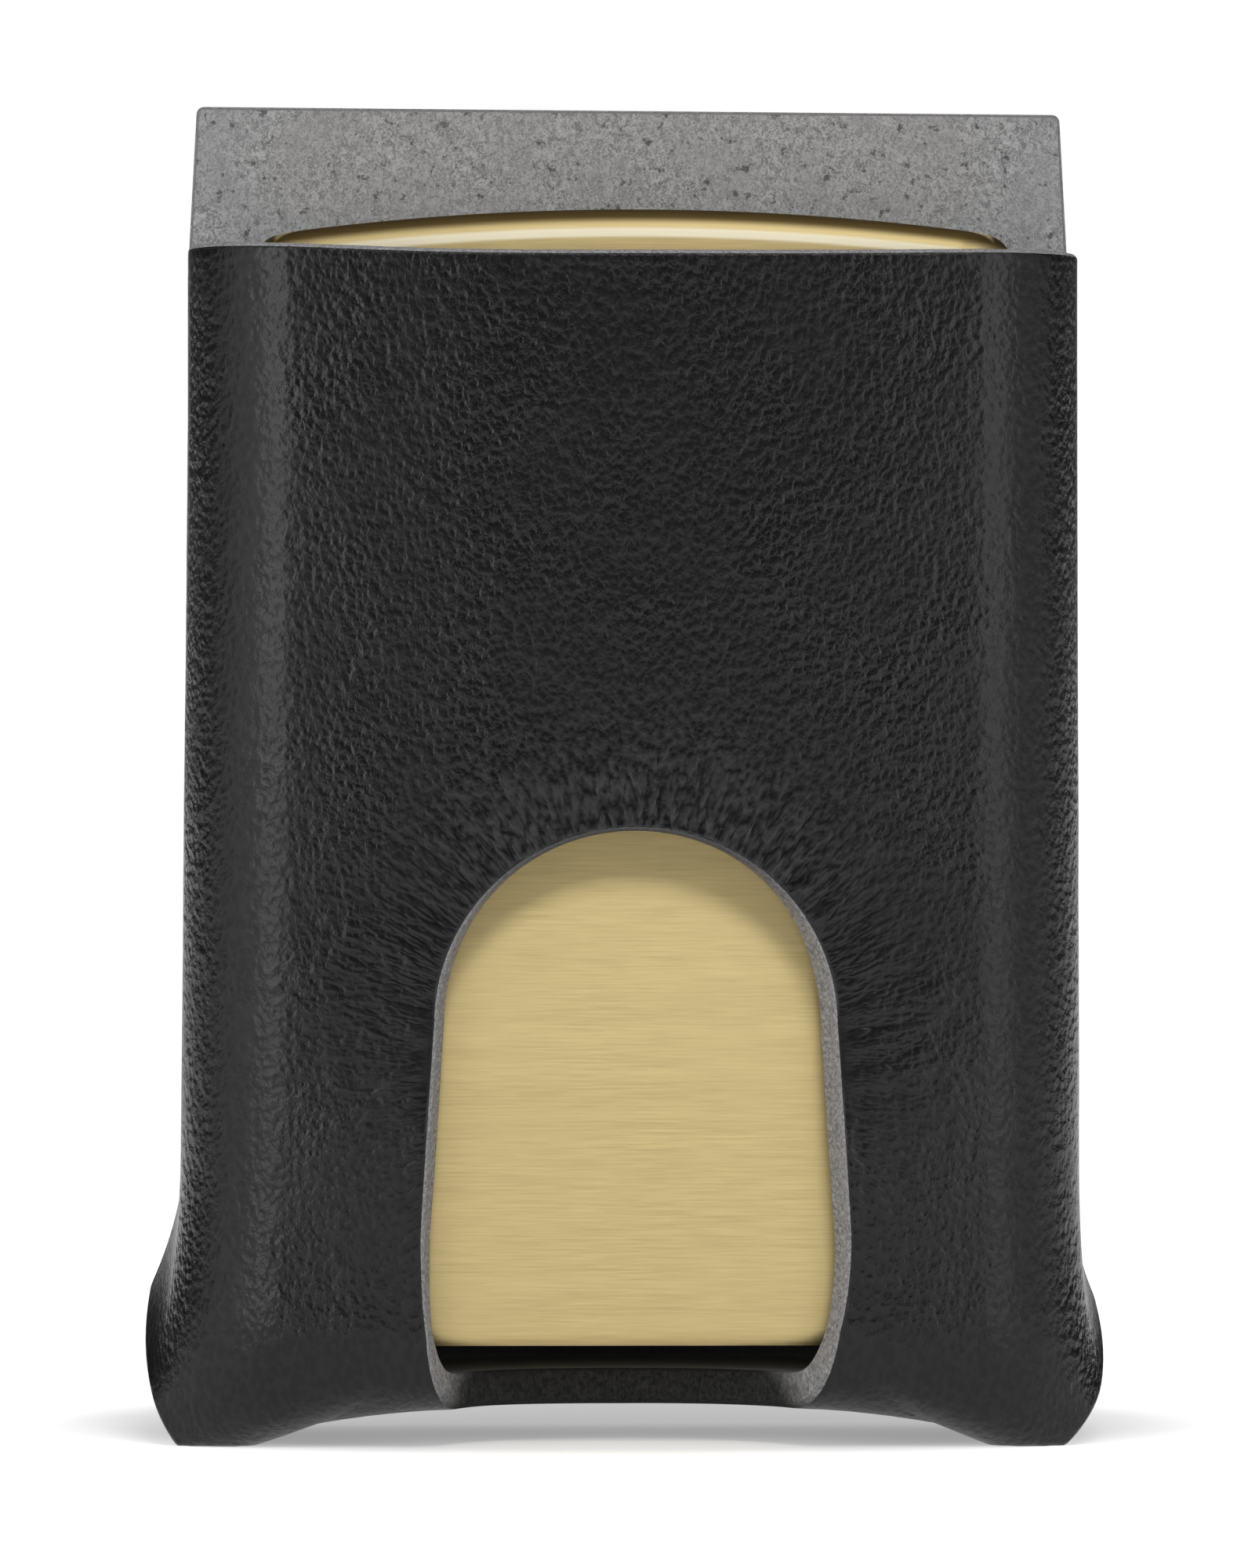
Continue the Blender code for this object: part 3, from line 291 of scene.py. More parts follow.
# Colour and roughness that a finish starts from
SKIN_BASE = ((0.0045, 0.0044, 0.0046), 0.38)
FLESH_BASE = ((0.23, 0.23, 0.232), 0.9)
CUT_BASE = ((0.14, 0.138, 0.138), 0.8)
BRASS_BASE = ((0.54, 0.43, 0.21), 0.42)
FLINT_BASE = ((0.12, 0.12, 0.12), 0.7)
FLOOR_BASE = ((0.8, 0.8, 0.8), 1.0)
SOFT_ROUGH = 0.95

# Colours, alone or from dark to light
PIT_BLACK = (0.0004, 0.0004, 0.0005)
SKIN_BLACK = (0.0055, 0.0054, 0.0055)
# Painted highlight above the thumb hole's arch
FAN_HIGHLIGHT_GREY = (0.024, 0.024, 0.0245)
FLESH_GREYS = ((0.12, 0.12, 0.123), (0.39, 0.39, 0.393))
CLOUD_GREY = (0.24, 0.24, 0.244)
SPECK_GREY = (0.035, 0.035, 0.037)
# Painted shade inside the fold
FOLD_SHADE_BLACK = (0.012, 0.012, 0.012)
CUT_GREYS = ((0.13, 0.127, 0.13), (0.38, 0.37, 0.375))
DARK_CUT_GREYS = ((0.006, 0.006, 0.006), (0.03, 0.03, 0.03))
# Painted shade on the cut edge at the arch's top
ARCH_SHADE_GREY = (0.05, 0.05, 0.05)
BRASS_TONES = ((0.475, 0.375, 0.180), (0.60, 0.485, 0.240))
BRASS_HAZY = (0.53, 0.43, 0.215)
# Painted highlight on the lid's arris, and painted shade on its rounded top edge
BRASS_HIGHLIGHT = (0.95, 0.90, 0.74)
BRASS_EDGE_SHADE = (0.05, 0.028, 0.006)
BRIGHT_STEEL = ((0.55, 0.54, 0.53), (0.66, 0.65, 0.64))
DARK_STEEL = ((0.10, 0.10, 0.10), (0.26, 0.255, 0.25))
FLINT_GREYS = ((0.05, 0.05, 0.05), (0.17, 0.165, 0.16))
COTTON_WHITES = ((0.62, 0.59, 0.53), (0.84, 0.81, 0.75))
FELT_WHITES = ((0.58, 0.55, 0.49), (0.78, 0.75, 0.69))

# Light of the surroundings on matt surfaces; what the camera sees of them is 1
WORLD_LIGHT = 0.45

# Surroundings as polish shows them: light by depth of a direction, from front to back
CARD_STOPS = ((-0.94, 0.06), (-0.62, 0.75), (0.0, 0.75), (0.2, 0.07), (0.95, 0.07),
              (0.99, 1.0))

# The floor keeps its shadow within this oval, and is white further out: half its width
# and depth, how far behind the case's middle it lies, and where the white is full
FLOOR_NEAR = (23.5, 17.0)
FLOOR_BEHIND = 10.0
FLOOR_FAR = 1.45
FLOOR_REACH = 12000.0

# Glow of the floor: where within the oval, from front to back, and how much; and outside. The
# lower glow round the case, a little lower behind it, is painted shade
FLOOR_DEPTHS = (-6.0, 16.0)
FLOOR_GLOWS = (0.32, 0.29)
FLOOR_WHITE = 0.65

# Soft lamps: turn from the front, height angle, distance, width and height, power
LAMPS = {
    "strip_left": (-34, 10, 520, (200, 380), 0.71),
    "sheet_left": (-52, 10, 520, (520, 380), 0.48),
    "strip_right": (36, 10, 520, (240, 380), 0.61),
    "key": (8, 42, 560, (180, 120), 0.80)}
LAMP_AIM = 34

# Camera, fitted to the photograph
FRAME_SIZE = (1592, 2000)
FOCAL_PIXELS = 11270.0
CAMERA_DISTANCE = 450.0
CAMERA_TURN = math.radians(1.2)
CAMERA_HEIGHT = 33.9
AXIS_PIXEL = (806.0, 985.0)
SENSOR = 36.0
CLIP_NEAR = 0.01
CLIP_FAR = 100.0

# What follows from the sizes, as in the solids
HALF_WIDTH = LIGHTER_WIDTH / 2
HALF_DEPTH = LIGHTER_DEPTH / 2
LIGHTER_HEIGHT = LOWER_SHELL_HEIGHT + SPLIT_GAP + LID_HEIGHT
LEAF_INNER_X = HALF_WIDTH - SHELL_WALL - CLEARANCE - HINGE_LEAF_THICKNESS
BARREL_REACH = LEAF_INNER_X + 2 * HINGE_BARREL_RADIUS
SLEEVE_HALF = BARREL_REACH + BARREL_GAP + LEATHER_THICKNESS / 2
SLEEVE_REACH = SLEEVE_HALF + LEATHER_THICKNESS / 2
STRIP_HALF_WIDTH = SLEEVE_REACH - LIP_INSET
FOLD_ROUND_LEFT = SLEEVE_REACH - FOLD_ROUND_INSET_LEFT
FOLD_ROUND_RIGHT = SLEEVE_REACH - FOLD_ROUND_INSET_RIGHT
FOLD_HALF_WIDTH_LEFT = SLEEVE_REACH - FOLD_INSET_LEFT
FOLD_HALF_WIDTH_RIGHT = SLEEVE_REACH - FOLD_INSET_RIGHT
SHOULDER_Y = -(HALF_DEPTH + FRONT_GAP + LEATHER_THICKNESS / 2)
FLANGE_Y = HALF_DEPTH + CLEARANCE + LEATHER_THICKNESS / 2
STRIP_Y = FLANGE_Y + LEATHER_THICKNESS + PLY_GAP
FOLD_FRONT_Y = -(HALF_DEPTH + FRONT_FOLD_GAP + LEATHER_THICKNESS / 2)
FOLD_HALF = (STRIP_Y - FOLD_FRONT_Y) / 2
FOLD_Y = (STRIP_Y + FOLD_FRONT_Y) / 2
FLOOR_Z = -(FOLD_GAP + LEATHER_THICKNESS / 2)
FOLD_RUN = FOLD_HALF - FOLD_RADIUS + QUARTER * FOLD_RADIUS
FOLD_LIFT = FOLD_RUN - FOLD_RADIUS - FLOOR_Z
FRONT_HEIGHT = LIGHTER_HEIGHT - FRONT_DROP
HOLE_LOW_V = HOLE_END + HOLE_LOW_RISE
HOLE_ARCH_V = HOLE_LOW_V + HOLE_SIDE
HOLE_TOP_V = HOLE_ARCH_V + HOLE_ARCH_RISE
FRONT_TOP_V = FRONT_HEIGHT + FOLD_LIFT
LIP_TOP_V = FRONT_TOP_V + LIP_HEIGHT

# Cut edges along the blank: where they are darker about the fold, and where the arch's own is
# painted darker, a painted shade
DARK_CUT_FROM = (FOLD_RUN - 2.0, FOLD_RUN - 4.4)
DARK_CUT_TO = (-FOLD_RUN, -FOLD_RUN + 4.0)
ARCH_SHADE_FROM = (HOLE_TOP_V - 6.0, HOLE_TOP_V - 0.5)
ARCH_SHADE_TO = (HOLE_TOP_V + 1.0, HOLE_TOP_V + 3.0)
ARCH_SHADE_SHARE = 0.8

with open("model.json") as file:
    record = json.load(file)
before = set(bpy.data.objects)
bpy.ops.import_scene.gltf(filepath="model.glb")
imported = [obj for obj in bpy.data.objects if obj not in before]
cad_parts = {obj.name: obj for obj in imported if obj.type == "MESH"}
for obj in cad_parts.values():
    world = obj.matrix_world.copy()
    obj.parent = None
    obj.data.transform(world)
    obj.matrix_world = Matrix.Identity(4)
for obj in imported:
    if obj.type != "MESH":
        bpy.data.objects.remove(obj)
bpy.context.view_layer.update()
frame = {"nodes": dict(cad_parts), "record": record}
shell_low, shell_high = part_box("lower_shell")
ORIGIN = Vector(((shell_low.x + shell_high.x) / 2, (shell_low.y + shell_high.y) / 2,
                 shell_low.z)) / MM


# Leather: from the flat blank to the folded sheet

def smooth(share):
    share = np.clip(share, 0.0, 1.0)
    return share * share * (3 - 2 * share)


def walk(path, distance):
    """Where a path of straights and arcs, each (length, turn), gets to."""
    shape = np.shape(distance)
    x, y, heading = np.zeros(shape), np.zeros(shape), np.zeros(shape)
    left = np.array(distance, float)
    for i, (length, turn) in enumerate(path):
        step = left if i == len(path) - 1 else np.clip(np.minimum(left, length), 0, None)
        if np.any(turn):
            bend = turn / length
            ahead = heading + bend * step
            x = x + (np.sin(ahead) - np.sin(heading)) / bend
            y = y + (np.cos(heading) - np.cos(ahead)) / bend
            heading = ahead
        else:
            x = x + np.cos(heading) * step
            y = y + np.sin(heading) * step
        left = left - step
    return x, y


def ear_share(u):
    round_half = np.where(u < 0, FOLD_ROUND_LEFT, FOLD_ROUND_RIGHT)
    return np.clip((np.abs(u) - FOLD_SQUARE_HALF) / (round_half - FOLD_SQUARE_HALF), 0, 1)


def folded_strip(u, v):
    """The blank bent only under the lighter, up the front and up the back."""
    radius = FOLD_RADIUS + (FOLD_HALF - FOLD_RADIUS) * ear_share(u) ** 2
    level = FLOOR_Z - (2 - QUARTER) * (radius - FOLD_RADIUS)
    path = [(FOLD_HALF - radius + DERIVATIVE_STEP, 0), (QUARTER * radius, QUARTER), (1, 0)]
    out, up = walk(path, np.abs(v))
    return np.stack((u, FOLD_Y - np.sign(v) * out, level + up), -1)


def wrap_path(half, crown):
    """Round the lighter from the middle of the front to the turned-in flange."""
    face = half - SHOULDER_RADIUS * (1 - np.sin(crown))
    shoulder = QUARTER - crown
    side = FLANGE_Y - BACK_BEND_RADIUS - SHOULDER_Y - SHOULDER_RADIUS * np.cos(crown)
    return [(face * crown / np.sin(crown), crown), (SHOULDER_RADIUS * shoulder, shoulder),
            (side, 0), (BACK_BEND_RADIUS * QUARTER, QUARTER), (1, 0)]


def wrapped(u, v, half, crown):
    """The blank bent only round the lighter's sides."""
    face = half - SHOULDER_RADIUS * (1 - np.sin(crown))
    across, back = walk(wrap_path(half, crown), np.abs(u))
    return np.stack((np.sign(u) * across, SHOULDER_Y - face * np.tan(crown / 2) + back,
                     v - FOLD_LIFT), -1)


def by_side(u, left, right):
    return left + (right - left) * smooth(0.5 + u / STRIP_HALF_WIDTH / 2)


def sheet_point(u, v):
    """Where the middle of the leather at (u, v) on the flat blank lies when folded."""
    end = by_side(u, EAR_END_LEFT, EAR_END_RIGHT)
    power = by_side(u, EAR_POWER_LEFT, EAR_POWER_RIGHT)
    start = FOLD_HOLD + (EAR_START - FOLD_HOLD) * smooth(ear_share(u))
    share = np.clip((end - v) / (end - start), 0, 1) ** power
    z = v - FOLD_LIFT
    belly = np.exp(-((z - BELLY_HEIGHT) / BELLY_SPAN) ** 2)
    low = 1 - smooth((z + CLEARANCE) / FRONT_HEIGHT)
    half = SLEEVE_HALF + by_side(u, SPREAD_LEFT, SPREAD_RIGHT) * low
    strip = folded_strip(u, v)
    wrap = wrapped(u, v, half, CROWN_ANGLE + BELLY_ANGLE * belly)
    share = np.where(v <= start, 1.0, share)[..., None]
    return wrap + (strip - wrap) * share


def sheet_surface(flat, offset):
    """Points at flat places, an offset above or below the middle of the leather."""
    u, v = flat[:, 0], flat[:, 1]
    step = DERIVATIVE_STEP
    across = sheet_point(u + step, v) - sheet_point(u - step, v)
    along = sheet_point(u, v + step) - sheet_point(u, v - step)
    normal = np.cross(across, along)
    normal /= np.linalg.norm(normal, axis=1)[:, None]
    return sheet_point(u, v) + normal * offset[:, None]


def wing_width(v):
    lengths = [length for length, _turn in wrap_path(SLEEVE_HALF, CROWN_ANGLE)]
    return sum(lengths[:3]) + min(max(v - FLANGE_START, 0.0), lengths[3] + FLANGE_WIDTH)


def blank_edge(v, side):
    """Half the blank's width at v; side is -1 left and 1 right."""
    at_fold = FOLD_HALF_WIDTH_LEFT if side < 0 else FOLD_HALF_WIDTH_RIGHT
    if v > WING_CUT_START:
        sweep = WING_SWEEP_LEFT if side < 0 else WING_SWEEP_RIGHT
        return min(at_fold + (v - WING_CUT_START) ** 2 / sweep / 2, wing_width(v))
    corner = LIP_CORNER - (v + LIP_TOP_V)
    if corner > 0:
        return STRIP_HALF_WIDTH - LIP_CORNER + math.sqrt(max(LIP_CORNER ** 2 - corner ** 2, 0))
    below = min((v + LIP_TOP_V - LIP_CORNER) / LIP_HEIGHT, 1.0)
    at_back = STRIP_HALF_WIDTH + LIP_WIDENING * below
    return at_back + (at_fold - at_back) * float(smooth(1 + v / FOLD_RUN))


def hole_edge(v, side):
    """Half the thumb hole's width at v, zero where there is none."""
    if HOLE_END < v < HOLE_LOW_V:
        power = HOLE_LOW_POWER_LEFT if side < 0 else HOLE_LOW_POWER_RIGHT
        share = (HOLE_LOW_V - v) / HOLE_LOW_RISE
        return HOLE_LOW_HALF * (1 - share ** power) ** (1 / power)
    if HOLE_LOW_V <= v <= HOLE_ARCH_V:
        return HOLE_LOW_HALF + (HOLE_ARCH_HALF - HOLE_LOW_HALF) * (v - HOLE_LOW_V) / HOLE_SIDE
    if HOLE_ARCH_V < v < HOLE_TOP_V:
        return HOLE_ARCH_HALF * math.sqrt(1 - ((v - HOLE_ARCH_V) / HOLE_ARCH_RISE) ** 2)
    return 0.0


def spaced(low, high, pitch):
    count = max(1, round((high - low) / pitch))
    return [low + (high - low) * i / count for i in range(count)]


def eased(low, high, count):
    """Closer together near the low end, for a rounded end."""
    return [low + (high - low) * (1 - math.cos(QUARTER * i / count)) for i in range(count)]


def sheet_rows():
    """Heights on the blank where its rows of faces lie, from lip to front top."""
    below_corner = LIP_CORNER - LIP_TOP_V
    fold = -FOLD_HALF * QUARTER
    rows = eased(-LIP_TOP_V, below_corner, LIP_CORNER_ROWS)
    rows += spaced(below_corner, below_corner + LIP_RUN, LIP_PITCH)
    rows += spaced(below_corner + LIP_RUN, fold, BACK_PITCH)
    rows += spaced(fold, WING_CUT_START, FOLD_PITCH)
    rows += spaced(WING_CUT_START, HOLE_END, LOW_PITCH)
    rows += eased(HOLE_END, HOLE_LOW_V, HOLE_LOW_ROWS)
    rows += spaced(HOLE_LOW_V, HOLE_ARCH_V, FRONT_PITCH)
    top = eased(HOLE_ARCH_V, HOLE_TOP_V, HOLE_ARCH_ROWS)
    rows += [HOLE_ARCH_V] + [HOLE_TOP_V + HOLE_ARCH_V - v for v in reversed(top[1:])]
    return rows + spaced(HOLE_TOP_V, FRONT_TOP_V, FRONT_PITCH) + [FRONT_TOP_V]


def trim(u, v):
    """How the top edges are cut: the front higher at its ends, the lip aslant."""
    lip = LIP_SLANT * u / STRIP_HALF_WIDTH * (v + FOLD_RUN) / (FOLD_RUN - LIP_TOP_V)
    share = np.clip((v - HOLE_TOP_V) / (FRONT_TOP_V - HOLE_TOP_V), 0, None)
    rise = np.where(u < 0, FRONT_RISE_LEFT, FRONT_RISE_RIGHT)
    front = rise * share * smooth(np.abs(u) / STRIP_HALF_WIDTH) ** 2
    return np.where(v < -FOLD_RUN, lip, front)


def flat_grid():
    """Flat places of the skin's vertices, and its faces, counterclockwise."""
    rows = sheet_rows()
    per_side = NEAR_COLUMNS + FAR_COLUMNS + 1
    near = np.arange(NEAR_COLUMNS) / NEAR_COLUMNS
    far = np.arange(FAR_COLUMNS + 1) / FAR_COLUMNS
    flat, ids, count = [], np.zeros((len(rows), 2, per_side), int), 0
    for r, v in enumerate(rows):
        for s, side in enumerate((-1, 1)):
            hole, edge = hole_edge(v, side), blank_edge(v, side)
            line = np.concatenate((hole + (NEAR_REACH - hole) * near,
                                   NEAR_REACH + (edge - NEAR_REACH) * far))
            first = 1 if side > 0 and hole == 0 else 0
            ids[r, s, first:] = count + np.arange(per_side - first)
            if first:
                ids[r, s, 0] = ids[r, 0, 0]
            count += per_side - first
            flat.append(np.stack((side * line[first:], np.full(per_side - first, v)), -1))
    flat = np.concatenate(flat)
    flat[:, 1] += trim(flat[:, 0], flat[:, 1])
    left, right = ids[:, 0], ids[:, 1]
    faces = [np.stack((right[:-1, :-1], right[:-1, 1:], right[1:, 1:], right[1:, :-1]), -1),
             np.stack((left[:-1, 1:], left[:-1, :-1], left[1:, :-1], left[1:, 1:]), -1)]
    return flat, np.concatenate([f.reshape(-1, 4) for f in faces])


def border_loops(faces):
    """Loops of vertices round the skin, with the skin on their left."""
    edges = np.concatenate([faces[:, [i, (i + 1) % 4]] for i in range(4)])
    known = {(a, b) for a, b in edges.tolist()}
    ahead = {a: b for a, b in known if (b, a) not in known}
    loops = []
    while ahead:
        start, point = next(iter(ahead.items()))
        loop = [start]
        del ahead[start]
        while point != start:
            loop.append(point)
            point = ahead.pop(point)
        loops.append(np.array(loop))
    return sorted(loops, key=len)


def border_normals(points):
    """Outward directions, on the flat, round a loop."""
    run = np.roll(points, -1, 0) - np.roll(points, 1, 0)
    out = np.stack((run[:, 1], -run[:, 0]), -1)
    return out / np.linalg.norm(out, axis=1)[:, None]


def finer(loop):
    """A closed loop of rows of numbers, with rows put in between."""
    ahead = np.roll(loop, -1, 0)
    return np.concatenate([loop + (ahead - loop) * i / RIM_STEPS for i in range(RIM_STEPS)])


def hole_slant(points):
    """How much further in the hole's cut lies on the flesh side."""
    side = np.where(points[:, 0] < 0, HOLE_SLANT_LEFT, HOLE_SLANT_RIGHT)
    rise = smooth((points[:, 1] - HOLE_END - HOLE_SLANT_START) / HOLE_SLANT_RUN)
    fall = smooth((HOLE_TOP_V - points[:, 1]) / HOLE_SLANT_TOP_RUN)
    return side * rise * fall


def ray_place(flat):
    """Turn about the thumb hole's arch, as a length, and distance from its middle."""
    u, v = flat[:, 0], flat[:, 1] - HOLE_ARCH_V - RAY_CENTRE_RISE
    return np.arctan2(u, v) * RAY_TURN_RADIUS, np.hypot(u, v)


def relief(flat):
    """How far the leather stands out or in: slow swells, and creases round the hole."""
    turn, reach = ray_place(flat)
    height = np.zeros(len(flat))
    beyond = np.clip(reach - CREASE_START - CREASE_RISE, 0, None)
    near = smooth((reach - CREASE_START) / CREASE_RISE) * np.exp(-beyond / CREASE_FADE)
    near *= smooth((CREASE_TURN - np.abs(turn)) / CREASE_TURN_RUN)
    for i, ((u, v), t, r, w) in enumerate(zip(flat.tolist(), turn, reach, near)):
        if v < RELIEF_START or abs(u) > RELIEF_HALF:
            continue
        for across, along, seed, depth in SWELLS:
            height[i] += noise.noise((u * across, v * along, seed)) * depth
        if w > CREASE_LEAST:
            across, along, seed, depth = CREASE
            height[i] += noise.noise((t * across, r * along, seed)) * depth * w
        height[i] *= min(1.0, (v - RELIEF_START) / RELIEF_RUN,
                         (RELIEF_HALF - abs(u)) / RELIEF_SIDE_RUN)
    return height


def edge_steps(half):
    """Inset and offset of each ring of a cut edge, from the skin to the flesh side."""
    steps = []
    for i in range(1, ROUND_RINGS + 1):
        turn = QUARTER * i / ROUND_RINGS
        steps.append((EDGE_ROUND * (1 - math.sin(turn)),
                      half - EDGE_ROUND * (1 - math.cos(turn))))
    for i in range(1, CUT_RINGS):
        share = i / CUT_RINGS
        steps.append((0.0, half - EDGE_ROUND - (2 * half - EDGE_ROUND - FLESH_ROUND) * share))
    for i in range(FLESH_RINGS):
        turn = QUARTER * i / FLESH_RINGS
        steps.append((FLESH_ROUND * (1 - math.cos(turn)),
                      FLESH_ROUND * (1 - math.sin(turn)) - half))
    return steps


def leather_mesh():
    """Positions, faces, their materials and flat places of the leather, as a closed mesh."""
    flat, faces = flat_grid()
    loops = border_loops(faces)
    borders = [(flat[loop], border_normals(flat[loop])) for loop in loops]
    slants = [hole_slant(borders[0][0]), np.zeros(len(loops[1]))]
    rim = np.concatenate([finer(np.column_stack((points, normals, slant)))
                          for (points, normals), slant in zip(borders, slants)])
    tree = kdtree.KDTree(len(rim))
    for i, (u, v) in enumerate(rim[:, :2].tolist()):
        tree.insert((u, v, 0), i)
    tree.balance()
    ease, push, lean = np.zeros(len(flat)), np.zeros((len(flat), 2)), np.zeros(len(flat))
    for i, (u, v) in enumerate(flat.tolist()):
        _co, found, distance = tree.find((u, v, 0))
        if distance < EDGE_EASE:
            ease[i] = 1 - distance / EDGE_EASE
            push[i], lean[i] = rim[found, 2:4], rim[found, 4]
    half = LEATHER_THICKNESS / 2
    height = relief(flat) * (1 - ease ** EDGE_FADE_POWER)

    def skin(offset, inset):
        shift = (ease * (inset - lean * (half - offset) / LEATHER_THICKNESS))[:, None]
        moved = flat - push * shift
        return moved, sheet_surface(moved, offset + height)

    grain_flat, grain = skin(half, EDGE_ROUND)
    flesh_flat, flesh = skin(-half, FLESH_ROUND)
    count = len(flat)
    points, flats = [grain, flesh], [grain_flat, flesh_flat]
    quads = [faces, faces[:, ::-1] + count]
    slots = [np.zeros(len(faces), int), np.full(len(faces), 2)]
    steps = edge_steps(half)
    used = 2 * count
    for loop, (border, normals), slant in zip(loops, borders, slants):
        # The bare cut begins one ring sooner at the hole and at the front's top
        raw = (loop is loops[0]) | (border[:, 1] > FRONT_TOP_V - EDGE_ROUND)
        rings = [loop]
        for k, (inset, offset) in enumerate(steps):
            shift = inset - slant * (half - offset) / LEATHER_THICKNESS
            places = border - normals * shift[:, None]
            points.append(sheet_surface(places, offset + height[loop]))
            flats.append(border + normals * (RIM_MAP_START + RIM_MAP_STEP * k))
            rings.append(used + np.arange(len(loop)))
            used += len(loop)
        rings.append(loop + count)
        for k, (near, far) in enumerate(zip(rings, rings[1:])):
            quads.append(np.stack((np.roll(near, -1), near, far, np.roll(far, -1)), -1))
            slots.append(np.where(raw, k > 0, k > 1).astype(int))
    place = np.concatenate(points) + np.array(ORIGIN)
    place[:, 2] = np.maximum(place[:, 2], 0.0)
    return place, np.concatenate(quads), np.concatenate(slots), np.concatenate(flats)


def mesh_object(name, points, quads, materials, slots=None):
    mesh = bpy.data.meshes.new(name)
    mesh.from_pydata((points * MM).tolist(), [], quads.tolist())
    for made in materials:
        mesh.materials.append(made)
    if slots is not None:
        mesh.polygons.foreach_set("material_index", slots.astype(np.int32))
    mesh.shade_smooth()
    mesh.update()
    made = bpy.data.objects.new(name, mesh)
    bpy.context.scene.collection.objects.link(made)
    return made


def add_map(mesh, name, places):
    layer = mesh.uv_layers.new(name=name)
    corners = np.zeros(len(mesh.loops), np.int32)
    mesh.loops.foreach_get("vertex_index", corners)
    layer.data.foreach_set("uv", places[corners].astype(np.float32).ravel())


# Materials

class Finish:
    """A node material under construction; most of its methods give a socket."""

    def __init__(self, name, colour, roughness, metallic=0.0):
        self.material = bpy.data.materials.new(name)
        self.material.use_nodes = True
        self.nodes = self.material.node_tree.nodes
        self.links = self.material.node_tree.links
        self.shader = self.nodes["Principled BSDF"]
        self.put(self.shader, {"Base Color": (*colour, 1.0), "Roughness": roughness,
                               "Metallic": metallic})
        self.material.diffuse_color = (*colour, 1.0)

    def put(self, node, values):
        """Set a node's inputs, each to a value or linked to a socket."""
        for key, value in values.items():
            if isinstance(value, bpy.types.NodeSocket):
                self.links.new(value, node.inputs[key])
            else:
                node.inputs[key].default_value = value
        return node

    def finished(self, values):
        self.put(self.shader, values)
        return self.material

    def node(self, kind, settings=None, **values):
        made = self.nodes.new("ShaderNode" + kind)
        for key, value in (settings or {}).items():
            setattr(made, key, value)
        return self.put(made, values)

    def math(self, operation, a, b=0.0):
        return self.put(self.node("Math", {"operation": operation}), {0: a, 1: b}).outputs[0]

    def spread(self, value, low, high, to_low=0.0, to_high=1.0):
        """A value's share of a range, eased at both ends, or what that share maps to."""
        made = self.node("MapRange", {"interpolation_type": "SMOOTHSTEP"})
        self.put(made, {"Value": value, "From Min": low, "From Max": high,
                        "To Min": to_low, "To Max": to_high})
        return made.outputs["Result"]

    def mix(self, share, a, b):
        """A colour between two."""
        made = self.node("Mix", {"data_type": "RGBA"})
        self.links.new(share, made.inputs[0])
        sockets = [s for s in made.inputs if s.type == "RGBA"]
        for socket, value in zip(sockets, (a, b)):
            if isinstance(value, bpy.types.NodeSocket):
                self.links.new(value, socket)
            else:
                socket.default_value = (*value, 1.0)
        return next(s for s in made.outputs if s.type == "RGBA")

    def tint(self, value, colours):
        """Between two colours, over the usual range of a noise."""
        return self.mix(self.spread(value, *NOISE_RANGE), *colours)

    def blend(self, share, a, b):
        """A number between two."""
        made = self.node("Mix", {"data_type": "FLOAT"})
        return self.put(made, {0: share, 2: a, 3: b}).outputs[0]

    def place(self, scale, map_name=None):
        """Place in millimetres, of the object or of a map, times a scale each way."""
        if map_name:
            out = self.node("UVMap", {"uv_map": map_name}).outputs["UV"]
            unit = FLAT_SPAN if map_name == "flat" else RAY_SPAN
        else:
            out = self.node("TexCoord").outputs["Object"]
            unit = 1 / MM
        return self.node("Mapping", Vector=out, Scale=[unit * s for s in scale]).outputs[0]

    def axes(self, map_name=None):
        place = self.place((1.0, 1.0, 1.0), map_name)
        return self.node("SeparateXYZ", Vector=place).outputs

    def noise(self, texture, map_name=None):
        scale, detail, roughness, distortion = texture
        return self.node("TexNoise", Vector=self.place(scale, map_name), Scale=1.0,
                         Detail=detail, Roughness=roughness,
                         Distortion=distortion).outputs[0]

    def bump(self, height, depth, strength):
        made = self.node("Bump", Height=height, Distance=depth * MM, Strength=strength)
        return made.outputs["Normal"]


